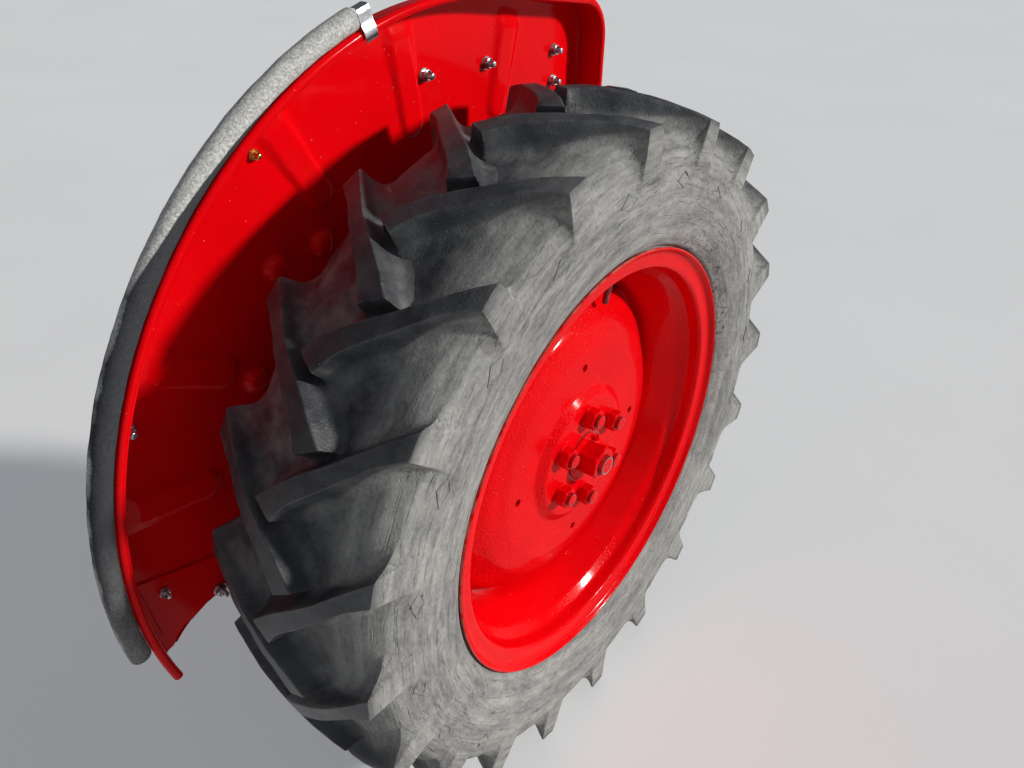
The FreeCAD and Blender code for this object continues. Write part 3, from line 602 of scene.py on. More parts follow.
# Worn and nicked edges, scars, grit, and a painted highlight on the inner lugs' outboard end faces
edges = rubber.new("ShaderNodeAttribute", output="Fac", attribute_name="worn_edge") ** 3.0
rub_and_highlight_patches = rubber.patches(60.0, 0.36, 0.60)
colour = rubber.mixed(edges * (rub_and_highlight_patches * 0.55), colour, (0.22, 0.218, 0.21, 1))
nicks = edges * rubber.patches(110.0, 0.62, 0.68)
colour = rubber.mixed(nicks, colour, (0.012, 0.012, 0.014, 1))
scars = rubber.shared(scratches, Scale=26.0, Width=0.012, Amount=0.60)
colour = rubber.mixed(scars * 0.45, colour, (0.34, 0.335, 0.31, 1))
grit = rubber.shared(specks, Scale=210.0, Size=0.15, Share=0.05)
colour = rubber.mixed(grit * 0.4, colour, (0.42, 0.41, 0.37, 1))
# Painted highlight: the inner lugs' end faces that face outboard, towards the key light, made pale
end_highlight = rubber.new("ShaderNodeAttribute", output="Fac", attribute_name="end_highlight")
colour = rubber.mixed((end_highlight * (rub_and_highlight_patches + 0.4)).clamped(), colour, (0.46, 0.45, 0.42, 1))
rubber.feed(Base_Color=colour, Roughness=rubber.ramp(dust_and_sheen + side_dust, 0.0, 1.0, 0.42, 0.80))
grain = rubber.noise(rubber.place, 420.0, 3.0)
rubber.bumped(grain * 0.5 - cracks + streaks * 0.35 - nicks, 0.0008)
print("rubber:", len(rubber.tree.nodes), "nodes")

# %% [markdown]
# The casing sector is a grid: the section line by fifteen steps of angle. The lugs are added, the
# small rhombus marks that stand on the shoulder between lugs too, and the tree repeats the lot.

# %% Tyre
SECTOR_STEPS = 15
MARK_ANGLE, MARK_RADIUS = -6.3, 358.0
MARK_ROWS = [(1.0, -0.4), (1.0, 0.9), (0.72, 1.0), (0.66, 0.35), (0.0, 0.35)]  # size, height
MARK_CORNERS = [(2.7, 0), (0, 9), (-2.7, 0), (0, -9)]  # degrees, millimetres
angles = np.linspace(0, PITCH, SECTOR_STEPS + 1)
casing = around_axle(section[None, :, 1], WHEEL_MID + section[None, :, 0], angles[:, None])
sides = ((1, 0.0), (-1, PITCH / 2))
parts = [grid(casing, close_columns=True)]
for side, offset in sides:
    lug = lug_spots(side, offset)
    points, faces = grid(lug)
    parts.append((points, faces + [border_of(*lug.shape[:2]).tolist()]))
for side, offset in sides:
    mark = []
    for share, lift in MARK_ROWS:
        for corner_angle, corner_radius in MARK_CORNERS:
            radius = MARK_RADIUS + corner_radius * share
            wall = np.interp(radius, FLOOR_RADIUS[::-1], FLOOR_REACH[::-1])
            mark.append(around_axle(radius, WHEEL_MID + side * (wall + lift),
                                    MARK_ANGLE + offset + corner_angle * share))
    parts.append(grid(np.array(mark).reshape(len(MARK_ROWS), 4, 3), close_columns=True))
sector = mesh_object("tyre_sector", parts, rubber.material, crease=32)
print("one pitch of tyre:", len(sector.data.polygons), "faces")
tyre = through(sector, repeat, "tyre_worn", Count=LUG_PAIRS, Finish=rubber.material)

# %% [markdown]
# A slow noise then moves the finished tread by a fraction of a millimetre, since no worn lug is
# true. Two attributes are worked out from the mesh for the rubber: how sharp the edges at a point
# are, and where an inner lug's end faces outboard.

# %% The tyre's wear
coords = np.empty(len(tyre.data.vertices) * 3)
tyre.data.vertices.foreach_get("co", coords)
coords = coords.reshape(-1, 3)
for spot in coords:
    where = Vector(spot)
    away = math.hypot(spot[0], spot[2])
    worn = max(0.0, min(1.0, (away - 0.36) / 0.05))
    push = 0.0011 * worn * noise.noise(where * 28) + 0.0005 * worn * noise.noise(where * 120)
    spot[0] += push * spot[0] / away
    spot[2] += push * spot[2] / away
    spot[1] += 0.0006 * worn * noise.noise(where * 60 + Vector((9, 0, 0)))
tyre.data.vertices.foreach_set("co", coords.ravel())
tyre.data.update()
work = bmesh.new()
work.from_mesh(tyre.data)
edge_worn = np.zeros(len(work.verts))
for line in work.edges:
    if len(line.link_faces) == 2:
        sharp = (math.degrees(line.calc_face_angle_signed(0.0)) - 14) / 40
        for corner in line.verts:
            edge_worn[corner.index] = max(edge_worn[corner.index], min(sharp, 1.0))
# Where an inner lug's end faces outboard, towards the key light: the mask of its painted highlight
end_facing = [
    max(0.0, min(1.0, (spot.normal.y - 0.80) / 0.12)) if abs(spot.co.y - 0.272) < 0.040
    and math.hypot(spot.co.x, spot.co.z) > 0.412 else 0.0 for spot in work.verts
]
work.free()
for name, values in (("worn_edge", edge_worn), ("end_highlight", end_facing)):
    tyre.data.attributes.new(name, "FLOAT", "POINT").data.foreach_set("value", values)
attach(tyre, "wheel")
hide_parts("tyre")
print("tyre:", len(tyre.data.polygons), "faces")

# %% [markdown]
# The rim is rolled from one strip: a flange whose edge hooks outboard, the seat that the bead sits
# on, and a slope down to the deep well that lets the tyre be fitted. It is a closed section turned
# about the axle, made for one side and mirrored. The hook leaves a hollow band between its thin
# edge and the flat of the flange.

# %% Rim
RIM_STEPS = 240
LIP = [
    # radius, reach from the middle plane
    (255.0, 58), (254.0, 64), (253.9, 75), (255.2, 79.4), (258.5, 81.8), (267.5, 82.4),
    (272.6, 84.0), (276.2, 87.4), (278.9, 91.4), (279.4, 93.4), (278.8, 95.0), (277.2, 95.3),
    (275.7, 94.0), (274.0, 91.2), (271.8, 88.7), (268.6, 87.2), (263.0, 86.8), (257.8, 86.5),
    (255.2, 85.8), (253.3, 84.4), (252.3, 82.2), (251.8, 79.0), (250.9, 72.0), (250.5, 69.4),
    (249.4, 67.6), (247.4, 65.6), (242.4, 60.6),
]
WELL = [(240.8, 59.2), (239.4, 57.6), (236.6, 52.0), (231.0, 40.0), (225.2, 27.0), (222.9, 20.0),
        (222, 13)]
UNDERSIDE = [(227, -10), (242, -49), (251.5, -56)]
shown, hidden = np.array(LIP + WELL), np.array(UNDERSIDE)
rim_line = np.vstack([shown, shown[::-1] * [1, -1], hidden, hidden[::-1] * [1, -1]])
turns = np.arange(RIM_STEPS) * 360 / RIM_STEPS
rim_spots = around_axle(rim_line[None, :, 0], WHEEL_MID + rim_line[None, :, 1], turns[:, None])
rim = mesh_object("rim_rolled", [grid(rim_spots, close_rows=True, close_columns=True)], rim_red,
                  crease=38)
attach(rim, "wheel")
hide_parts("rim")
print("rim:", len(rim.data.polygons), "faces, lip radius", rim_line[:, 0].max())

# %% [markdown]
# The wheel disc is pressed from plate: a raised plateau for the hub, a flat ring with four small
# holes, and a brow that falls away to a skirt, which is welded to the well. Between the welds the
# skirt is pulled in, which leaves four dark slots. The grid is polar, the press's soft shapes are
# roundings of its line, and the holes are drilled by a boolean, since they are true holes.

# %% Wheel disc
PLATEAU_Y, RING_Y, FOOT_Y = 342.0, 333.0, 280.0
DISC_THICK = 7.0
DISC_STEPS = 288
SLOTS = [-63, 27, 117, 207]  # degrees, the middle of each slot
SLOT_HALF, SLOT_FADE, PULL_IN, PULL_BACK = 16.5, 9.0, 10.0, 3.0
HOLE_CIRCLE, HOLE_RADIUS, FIRST_HOLE = 126, 5.0, 90.5
disc_face = rounded([
    (36.3, PLATEAU_Y), (83, PLATEAU_Y), (95, RING_Y), (146, RING_Y - 0.6), (174, 325.0),
    (207, 300.5), (220.6, 281), (221.6, 262),
], [9, 9, 46, 40, 30, 16], steps=8)
turns = np.arange(DISC_STEPS) * 360 / DISC_STEPS
from_slot = np.min(np.abs((turns[:, None] - SLOTS + 180) % 360 - 180), axis=1)
in_slot = soft((SLOT_HALF - from_slot) / SLOT_FADE)[:, None]


def disc_surface(inset, depth):
    """The disc's line, moved in towards the axle and back, turned about the axle."""
    radius, y = disc_face[None, :, 0] - inset, disc_face[None, :, 1] - depth
    pull = in_slot * np.clip((radius - 205) / 12, 0, 1)
    return around_axle(radius - PULL_IN * pull, y - PULL_BACK * pull, turns[:, None])


front = disc_surface(0, 0)
back = disc_surface(DISC_THICK * np.clip((disc_face[:, 0] - 150) / 60, 0, 1),
                    DISC_THICK * np.clip((215 - disc_face[:, 0]) / 60, 0, 1))
shell = np.concatenate([front, back[:, ::-1]], axis=1)
disc_blank = mesh_object("disc_blank", [grid(shell, close_rows=True, close_columns=True)],
                         wheel_red)
drills = []
for angle in FIRST_HOLE + 90 * np.arange(4):
    x, _, z = around_axle(HOLE_CIRCLE, 0, angle)
    drills.append(standing(round_steps(20), [(HOLE_RADIUS, 300), (HOLE_RADIUS, 360)], x, 0, z))
drill = mesh_object("drill", drills, wheel_red)
bore = disc_blank.modifiers.new("holes", "BOOLEAN")
bore.object, bore.operation, bore.solver = drill, "DIFFERENCE", "EXACT"
disc = plain(disc_blank, "wheel_disc_pressed")
bpy.data.objects.remove(drill, do_unlink=True)
disc.data.set_sharp_from_angle(angle=math.radians(35))
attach(disc, "wheel")
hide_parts("wheel_disc")
print("disc:", len(disc.data.polygons), "faces")

# %% [markdown]
# The skirt is held to the well by four runs of arc weld between the slots. A weld is a row of
# small overlapping puddles, so the bead is a tube along an arc whose radius swells at every
# ripple.

# %% Welds
weld_parts = []
for slot in SLOTS:
    start, end = slot + 17.0, slot + 90 - 17.0
    stations = np.linspace(start, end, 130)
    ripple = 3.0 + 0.45 * np.abs(np.sin(np.radians(stations) * 90)) \
        + np.array([0.5 * noise.noise(Vector((a * 0.4, slot, 1))) for a in stations])
    fade = np.minimum(1, np.minimum(stations - start, end - stations) / 1.2)
    swell = (ripple * fade)[:, None]
    radius = 220.8 + swell * np.cos(round_steps(10))
    y = FOOT_Y + 1.5 + swell * np.sin(round_steps(10))
    weld_parts.append(grid(around_axle(radius, y, stations[:, None]), close_columns=True))
weld = mesh_object("skirt_weld", weld_parts, wheel_red, crease=70)
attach(weld, "wheel")
print("welds:", len(SLOTS), "runs")

# %% [markdown]
# The hub end stands in the plateau: six studs with painted hexagon nuts, and one large nut on the
# axle's end with a tab washer bent up against it. Thick paint has rounded every edge. A nut is a
# hexagon whose corners are chamfered by a cone, so its outline is the smaller of the two. A thread
# is a wave that runs round and up a rod, softened by the paint that fills it.

# %% Nuts and studs
def hexagon_nut(across, height, bore, chamfer, steps=72, washer=None):
    """A chamfered nut standing up from 0, as rows about its own axis."""
    turns = round_steps(steps)
    flat = (across / 2) / np.cos((turns + math.pi / 6) % (math.pi / 3) - math.pi / 6)
    if washer:
        rows = [(washer, 0.0), (washer, 1.4), (washer - 0.8, 2.0), (flat * 0.99, 2.2)]
    else:
        rows = [(flat * 0.97, 0.0), (flat, 0.8)]
    face_radius = across / 2 * 0.99
    for drop in (1.0, 0.66, 0.33, 0.0):
        reach = face_radius + (flat - face_radius) * drop
        level = height - chamfer * drop * (flat - across / 2) / (across / 2 * 0.155)
        rows.append((np.minimum(flat, reach), level))
    return turns, rows + [(face_radius * 0.97, height + 0.15), (bore + 1.2, height + 0.2),
                          (bore, height - 0.7), (bore, height - 3.0)]


def threaded_end(radius, start, height, pitch=2.0, steps=28, dimple=0.0, painted=0.45):
    """A stud's end: turns of thread softened by paint, a domed tip and maybe a centre dimple."""
    turns = round_steps(steps)
    rows = [(radius - painted * (0.5 + 0.5 * np.cos(math.tau * level / pitch - turns)), level)
            for level in np.arange(start, height - 1.2, pitch / 6)]
    rows += [(radius * share, height - drop)
             for share, drop in ((0.90, 0.9), (0.78, 0.3), (0.60, 0), (0.30, 0))]
    if dimple:
        rows += [(dimple, height), (dimple * 0.4, height - dimple)]
    return turns, rows + [(0.05, height - (dimple or -0.1))]


STUD_CIRCLE, STUD_ANGLE = 60.0, 30.8
x, _, z = around_axle(STUD_CIRCLE, 0, STUD_ANGLE)
nut = standing(*hexagon_nut(24, 15, 8.3, 1.6, washer=14.2), x, PLATEAU_Y, z,
               math.radians(STUD_ANGLE))
stud = standing(*threaded_end(7.9, 12.0, 20.5), x, PLATEAU_Y, z)
nuts = through(mesh_object("one_nut", [nut], wheel_red, crease=40), repeat,
               "wheel_nuts_painted", Count=6, Finish=wheel_red)
studs = through(mesh_object("one_stud", [stud], wheel_red, crease=40), repeat,
                "wheel_studs_painted", Count=6, Finish=wheel_red)
for thing in (nuts, studs):
    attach(thing, "wheel")
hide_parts("wheel_nuts")
print("nuts and studs:", len(nuts.data.polygons), len(studs.data.polygons), "faces")

# %% [markdown]
# The large nut holds the wheel's hub to the axle. Its tab washer is a thin ring with one tab
# turned up against a flat of the nut.

# %% Centre nut, tab washer and axle end
TAB_ANGLE, TAB_HALF = 128, 17
nut = standing(*hexagon_nut(41, 29, 12.6, 3.0, washer=25.5), 0, PLATEAU_Y, 0, math.radians(12))
turns = round_steps(96)
from_tab = np.abs((np.degrees(turns) - TAB_ANGLE + 180) % 360 - 180)
tab = np.clip(3 * np.clip(1 - from_tab / TAB_HALF, 0, 1), 0, 1)
washer = standing(turns, [
    (22.0, 0.2), (31.0, 0.2), (33.0 - 6.6 * tab, 0.3 + 1.5 * tab),
    (33.4 - 7.6 * tab, 1.6 + 7.5 * tab), (32.6 - 8.0 * tab, 2.5 + 8.0 * tab),
    (30.5 - 6.2 * tab, 2.8 + 5.0 * tab), (22.0, 2.8),
], 0, PLATEAU_Y, 0)
centre = mesh_object("centre_nut_painted", [nut, washer], wheel_red, crease=40)
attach(centre, "wheel")
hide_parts("centre_nut")
thread = threaded_end(12.2, 22.0, 35.6, steps=40, dimple=2.4, painted=0.6)
axle_tip = mesh_object("axle_tip", [standing(*thread, 0, PLATEAU_Y, 0)], wheel_red, crease=40)
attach(axle_tip, "wheel")
print("centre nut:", len(centre.data.polygons), "faces")

# %% [markdown]
# The mudguard is one pressing: a flat wall, five soft radial beads that stiffen it, three domed
# bosses where the carrier bolts on behind, and an edge that curls outboard to a rolled wire. Its
# outline, seen from the side, is an arc about a centre above the axle, a straight run behind the
# crown, a bend, and a short drop at the rear.

# %% The mudguard's outline
GUARD_R, GUARD_Z, WALL_Y, EDGE_Y, TURN_R = 492.0, 20.0, 120.0, 155.0, 12.0
FOOT_ANGLE, CROWN, REAR_X, REAR_Z, BEND = -13.6, 97.0, -268.0, 300.0, 48.0


def facing(angles):
    """Unit arrows (x, z) at angles in degrees."""
    return np.column_stack([np.cos(np.radians(angles)), np.sin(np.radians(angles))])


slope = math.radians(CROWN)
bend_x = REAR_X + BEND
bend_z = GUARD_Z + (GUARD_R - BEND - math.cos(slope) * bend_x) / math.sin(slope)
arc, bend = facing(np.linspace(FOOT_ANGLE, CROWN, 300)), facing(np.linspace(CROWN, 180, 22))
arc_edge, bend_edge = GUARD_R * arc + [0, GUARD_Z], BEND * bend + [bend_x, bend_z]
share = np.linspace(0.03, 0.97, 34)[:, None]
straight = arc_edge[-1] + share * (bend_edge[0] - arc_edge[-1])
drop = np.column_stack([np.full(24, REAR_X), np.linspace(bend_z - 6, REAR_Z, 24)])
edge = np.vstack([arc_edge, straight, bend_edge, drop])
outward = np.vstack([arc, np.tile(arc[-1], (34, 1)), bend, np.tile([-1.0, 0.0], (24, 1))])
print("mudguard outline:", len(edge), "stations")

# %% [markdown]
# A bead is a smooth swelling with round ends, and a boss is a low dome with a soft foot, so both
# are added to the wall as heights. The sheet is a grid: stations along the outline, rows from the
# inner edge to the curl. The arch cut in the foot is a circle: points inside it are pushed out to
# the circle, which keeps the cut edge clean without a boolean.

# %% The mudguard's sheet
BEADS = [(9.7, 372), (28.1, 366), (59.4, 362), (81.6, 358), (104.2, 358)]  # angle, inner end
BOSSES = [(383, 48), (352, 56), (349, 30)]  # radius about the axle, angle
ARCH_CENTRE, ARCH_RADIUS = np.array([392.0, -152.0]), 92.0
INNER_R, ROWS, SHEET_THICK = 300, 84, 2.0


def pressed(x, z):
    """How far the wall stands outboard of its plane at a place."""
    rise = np.zeros_like(x)
    for angle, inner_end in BEADS:
        turn_x, turn_z = facing([angle])[0]
        along = x * turn_x + (z - GUARD_Z) * turn_z
        across = -x * turn_z + (z - GUARD_Z) * turn_x
        away = np.hypot(across, np.maximum(0, inner_end + 15 - along))
        spread = 1 + 0.35 * soft((along - 400) / 70)
        height = 5.0 * soft((18.5 * spread - away) / (6.5 * spread**3))
        height = height * soft((GUARD_R - 9 - along) / 26)
        rise = np.maximum(rise, np.where(along > 0, height, 0))
    for radius, angle in BOSSES:
        boss_x, _, boss_z = around_axle(radius, 0, angle)
        rise = np.maximum(rise, 9.0 * soft((17.0 - np.hypot(x - boss_x, z - boss_z)) / 11.0))
    return rise


angle = np.arctan2(edge[:, 1] - GUARD_Z, edge[:, 0])
inner = INNER_R * np.column_stack([np.cos(angle), np.sin(angle)]) + [0, GUARD_Z]
wall_out = edge - outward * (TURN_R + 0.8)
share = np.linspace(0, 1, ROWS)[None, :, None]
wall = inner[:, None, :] * (1 - share) + wall_out[:, None, :] * share
wall_y = WALL_Y + pressed(wall[..., 0], wall[..., 1])
curl_turns = np.radians(np.linspace(0, 90, 11))
curl_in = np.append(TURN_R - TURN_R * np.sin(curl_turns), np.zeros(5))
curl_y = np.append(WALL_Y + TURN_R - TURN_R * np.cos(curl_turns),
                   np.linspace(WALL_Y + TURN_R, EDGE_Y, 6)[1:])
curl = edge[:, None, :] - outward[:, None, :] * curl_in[None, :, None]
flat = np.concatenate([wall, curl], axis=1)
level = np.concatenate([wall_y, np.broadcast_to(curl_y, curl.shape[:2])], axis=1)
away = flat - ARCH_CENTRE
distance = np.linalg.norm(away, axis=-1, keepdims=True)
in_arch = (distance < ARCH_RADIUS) & (flat[..., :1] > 300)
flat = np.where(in_arch, ARCH_CENTRE + away / distance * ARCH_RADIUS, flat)
front = np.stack([flat[..., 0], level, flat[..., 1]], axis=-1)
normal = np.cross(np.gradient(front, axis=1), np.gradient(front, axis=0))
normal /= np.linalg.norm(normal, axis=-1, keepdims=True) + 1e-9
if normal[100, 20, 1] < 0:  # outboard, away from the tractor
    normal = -normal
points, faces = grid(front)
count = len(points)
border = border_of(*front.shape[:2])
following = np.roll(border, -1)
sides = np.stack([border, following, following + count, border + count], axis=-1)
faces += [[corner + count for corner in reversed(face)] for face in faces] + sides.tolist()
sheet = (np.vstack([points, (front - normal * SHEET_THICK).reshape(-1, 3)]), faces)
guard = mesh_object("mudguard_pressed", [sheet], guard_red, crease=45)
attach(guard, "axle_end")
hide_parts("mudguard")
print("mudguard:", len(guard.data.polygons), "faces")

# %% [markdown]
# Tubes that follow a line are made by a second tree: the line is resampled, a round profile is
# swept along it and the ends are capped. The rolled wire edge and the foam seal both use it, with
# a slow noise for the foam, which was pressed on by hand and isn't quite even.

# %% A tree that sweeps a tube along a line
tube, given = shape_tree("tube_along_line", Radius=0.005, Sides=20, Spacing=0.004, Uneven=0.0)
line = tube.new("GeometryNodeMeshToCurve", {"Mesh": given["Geometry"]})
line = tube.new("GeometryNodeResampleCurve", {"Curve": line, "Length": given["Spacing"]},
                mode="LENGTH")
profile = tube.new("GeometryNodeCurvePrimitiveCircle", {
    "Resolution": given["Sides"], "Radius": given["Radius"]})
shape = tube.new("GeometryNodeCurveToMesh", {
    "Curve": line, "Profile Curve": profile, "Fill Caps": True})
lumps = tube.new("ShaderNodeTexNoise", {"Scale": 34.0, "Detail": 2.0}, output=1)
lumps = tube.new("ShaderNodeVectorMath", {0: lumps, 1: (0.5, 0.5, 0.5)}, operation="SUBTRACT")
lumps = tube.new("ShaderNodeVectorMath", {0: lumps, "Scale": given["Uneven"]}, operation="SCALE")
shape = tube.new("GeometryNodeSetPosition", {"Geometry": shape, "Offset": lumps})
shape = tube.new("GeometryNodeSetShadeSmooth", {"Geometry": shape})
shape = tube.new("GeometryNodeRealizeInstances", {"Geometry": shape})
shape = tube.new("GeometryNodeSetMaterial", {"Geometry": shape, "Material": given["Finish"]})
tube.result(shape)
print("tree:", tube.tree.name)


def tube_along(spots, name, finish, **sizes):
    """A tube along points in millimetres."""
    mesh = bpy.data.meshes.new(name + "_line")
    steps = [(number, number + 1) for number in range(len(spots) - 1)]
    mesh.from_pydata((np.asarray(spots) * MM).tolist(), steps, [])
    mesh.materials.append(finish)
    return through(linked(name + "_line", mesh), tube, name, Finish=finish, **sizes)


WIRE_RADIUS, WIRE_OUT = 5.0, 1.0
wire_at = edge + outward * WIRE_OUT
wire = tube_along(np.column_stack([wire_at[:, 0], np.full(len(edge), EDGE_Y), wire_at[:, 1]]),
                  "guard_wire_edge", guard_red, Radius=WIRE_RADIUS * MM, Sides=20, Spacing=0.005)
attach(wire, "axle_end")
print("wire edge:", len(wire.data.polygons), "faces")

# %% [markdown]
# Strips of foam close the gap between the mudguard and the body beside it. The tube lies against
# the outside of the wire edge. Foam is a mass of cut cells, so its colour breaks into pale and
# dark grains of about a millimetre, its bump follows the same grains, and it never shines. The
# wire edge's shadow is painted on as a dark blue-grey band on the side against it, which widens
# from the crown down until it covers the tube, and is painted weaker at the foot.

# %% Foam seal
foam_paint = Finish("foam_speckled", Specular_IOR_Level=0.2, Roughness=0.95)
grains = foam_paint.new("ShaderNodeTexVoronoi", {"Vector": foam_paint.place, "Scale": 620.0})
grains = foam_paint.new("ShaderNodeSeparateColor", {"Color": grains.other("Color")})
tone = (grains * 0.6 + foam_paint.noise(foam_paint.place, 900.0, 2.0) * 0.5).clamped()
colour = foam_paint.mixed(tone, (0.24, 0.24, 0.235, 1), (0.80, 0.79, 0.75, 1))
x, y, z = foam_paint.parts(foam_paint.place)
above = z - GUARD_Z * MM
uneven = foam_paint.patches(14.0, 0.30, 0.72)
from_centre = (x * x + above * above) ** 0.5 + uneven * 0.0022
# Painted shadow of the wire edge: a dark band on the side against it, widening from the crown down
painted_shadow_edge = foam_paint.ramp(z, 0.475, 0.325, 0.4995, 0.5200)
painted_shadow_band = foam_paint.maths("DIVIDE", painted_shadow_edge - from_centre, 0.0012).clamped()
# The painted shadow is weaker towards the foot
above_foot = foam_paint.ramp(z + uneven * 0.03, -0.02, 0.14, low=0.62, smooth=True)
foam_paint.feed(Base_Color=foam_paint.mixed(
    painted_shadow_band * above_foot * 0.95, colour, (0.026, 0.028, 0.036, 1)))
foam_paint.bumped(tone, 0.0009)

FOAM_RADIUS, FOAM_LEAN = 10.5, math.radians(17)
to_wire = WIRE_RADIUS + FOAM_RADIUS + 0.3
foam_circle = GUARD_R + WIRE_OUT + to_wire * math.cos(FOAM_LEAN)
foam_line = around_axle(foam_circle, EDGE_Y - to_wire * math.sin(FOAM_LEAN),
                        np.linspace(-6.9, 72.4, 200)) + [0, 0, GUARD_Z]
foam = tube_along(foam_line, "foam_seal_soft", foam_paint.material,
                  Radius=FOAM_RADIUS * MM, Sides=28, Spacing=0.004, Uneven=0.0022)
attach(foam, "axle_end")
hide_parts("foam_seal")
print("foam:", len(foam.data.polygons), "faces")

# %% [markdown]
# Zinc-plated steel is a cool pale grey with cloudy crystals and a few dull spots. The one newer
# nut is yellow-passivated, and the shaft is bare steel. They share one recipe with different
# colours.

# %% Plated steel
def plated(name, bright, dull, spot):
    coat = Finish(name, Metallic=1.0)
    colour = coat.mixed(coat.patches(90.0, 0.3, 0.7), bright, dull)
    dirt = coat.patches(210.0, 0.58, 0.75)
    coat.feed(Base_Color=coat.mixed(dirt * 0.6, colour, spot),
              Roughness=coat.ramp(dirt, 0.0, 1.0, 0.28, 0.62))
    coat.bumped(coat.noise(coat.place, 900.0, 3.0), 0.0002)
    return coat.material


zinc = plated("zinc_plate", (0.62, 0.63, 0.65, 1), (0.42, 0.43, 0.45, 1), (0.16, 0.14, 0.12, 1))
yellow = plated("yellow_zinc_plate", (0.72, 0.50, 0.18, 1), (0.52, 0.33, 0.10, 1),
                (0.20, 0.12, 0.06, 1))
steel = plated("bare_steel", (0.46, 0.45, 0.44, 1), (0.30, 0.29, 0.28, 1), (0.20, 0.10, 0.05, 1))
print("metals:", zinc.name, yellow.name, steel.name)

# %% [markdown]
# Eight small bolts come through the wall, each with a plain washer, a hexagon nut and a short
# threaded tail towards the wheel. Two hold the strap at the foot, so they stand on it.

# %% Bolts of the mudguard
BOLTS = [
    # inset from the edge, angle about the guard's centre, seat, turn, size, finish
    (76.9, 85.7, WALL_Y, 10, 1, zinc), (73.7, 100.1, WALL_Y, 35, 1, zinc),
    (65.6, 119.3, WALL_Y, 22, 1, zinc), (32, 117.1, WALL_Y, 48, 1, zinc),
    (21.5, 20.8, WALL_Y, 50, 1, zinc), (33.6, 55.6, WALL_Y, 5, 0.72, yellow),
    (36, -4, WALL_Y + 3, 28, 0.74, zinc), (86.7, -10.8, WALL_Y + 3, 44, 1, zinc),
]


def small_bolt(inset, angle, seat, turn, size):
    x, z = (GUARD_R - inset) * facing([angle])[0] + [0, GUARD_Z]
    seat += float(pressed(np.array([x]), np.array([z]))[0])
    washer = [(7.4, -0.5), (7.8, 0.0), (7.8, 0.9), (7.4, 1.3), (4.0, 1.3)]
    nut = hexagon_nut(12 * size, 5.4 * size, 4.1 * size, 0.8, steps=48)
    tail = threaded_end(3.9 * size, 4.0, 14.2 * size, pitch=1.25, steps=20, painted=0.35)
    return [
        standing(round_steps(40), [(reach * size, level) for reach, level in washer], x, seat, z),
        standing(*nut, x, seat + 1.2, z, math.radians(turn)), standing(*tail, x, seat, z),
    ]


for name, kind in (("guard_bolts_zinc", zinc), ("guard_bolt_yellow", yellow)):
    bolt_parts = []
    for *place, coat in BOLTS:
        bolt_parts += small_bolt(*place) if coat is kind else []
    bolts = mesh_object(name, bolt_parts, kind)
    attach(bolts, "axle_end")
    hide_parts("guard_bolts")
    print(name, len(bolts.data.polygons), "faces")

# %% [markdown]
# A small flat clip of plated sheet bridges the joint at the foam's upper end and hooks over the
# wire edge. It is a strip bent in three: its top line and its underside make one closed band.

# %% Clip
CLIP_ANGLE, CLIP_THICK = 73.4, 1.2
CLIP_LINE = [
    # reach past the guard's radius, rise over its edge, half width
    (-7, 4.0, 7), (-4.5, 6.6, 8), (0, 7.6, 8), (5, 7.4, 8), (9, 6.0, 8), (13, 5.6, 8),
    (19, 5.4, 8), (24, 5.2, 8), (25.5, 3.8, 7), (25.8, -3.0, 7),
]
clip_x, clip_z = facing([CLIP_ANGLE])[0]
strip = []
for lift, line in ((0.0, CLIP_LINE), (-CLIP_THICK, CLIP_LINE[::-1])):
    for reach, rise, half in line:
        out, side = GUARD_R + reach + lift * 0.3, np.linspace(-half, half, 7)
        strip.append(np.column_stack([
            clip_x * out - clip_z * side, np.full(7, EDGE_Y + rise + lift),
            GUARD_Z + clip_z * out + clip_x * side]))
points, faces = grid(np.array(strip), close_rows=True)
ends = np.arange(len(points)).reshape(len(strip), 7)
faces += [ends[:, 0].tolist(), ends[::-1, -1].tolist()]
clip = mesh_object("seal_clip", [(points, faces)], zinc, crease=50)
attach(clip, "axle_end")
print("clip:", len(clip.data.polygons), "faces")

# %% [markdown]
# The valve stem stands in the well: a rubber-covered tube with a cap, caught by the red paint.

# %% Valve stem
STEM_ANGLE, WELL_RADIUS = 105.0, 222.0
STEM_ROWS = [(6.4, -9.0), (6.2, -5.0), (4.2, 3.5), (3.9, 14.0), (3.6, 14.6), (4.0, 15.2),
             (4.0, 24.4), (3.2, 25.8), (0.2, 26.0)]  # its radius, depth in from the well
low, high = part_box("valve_stem")
stem_y = (low[1] + high[1]) / 2 / MM
stem_x, _, stem_z = around_axle(1.0, 0, STEM_ANGLE)
stem_turns = round_steps(24)
stem_rows = []
for reach, depth in STEM_ROWS:
    radius, side = WELL_RADIUS - depth, reach * np.cos(stem_turns)
    stem_rows.append(np.column_stack([
        radius * stem_x - side * stem_z, stem_y + reach * np.sin(stem_turns),
        radius * stem_z + side * stem_x]))
stem_rubber = Finish("valve_rubber")
worn = stem_rubber.patches(120.0, 0.4, 0.7)
stem_rubber.feed(
    Base_Color=stem_rubber.mixed(worn, (0.22, 0.002, 0.004, 1), (0.09, 0.010, 0.010, 1)),
    Roughness=worn * 0.3 + 0.5)
stem_rubber.bumped(worn, 0.0003)
stem = mesh_object("valve_stem_round", [capped(np.array(stem_rows))], stem_rubber.material)
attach(stem, "wheel")
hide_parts("valve_stem")
print("valve stem:", len(stem.data.polygons), "faces")

# %% [markdown]
# The castings and the hub behind the wheel keep their CAD shapes and get thick, duller red paint;
# the shaft is bare steel and the carrier's screws zinc. The strap at the foot is painted with the
# mudguard.

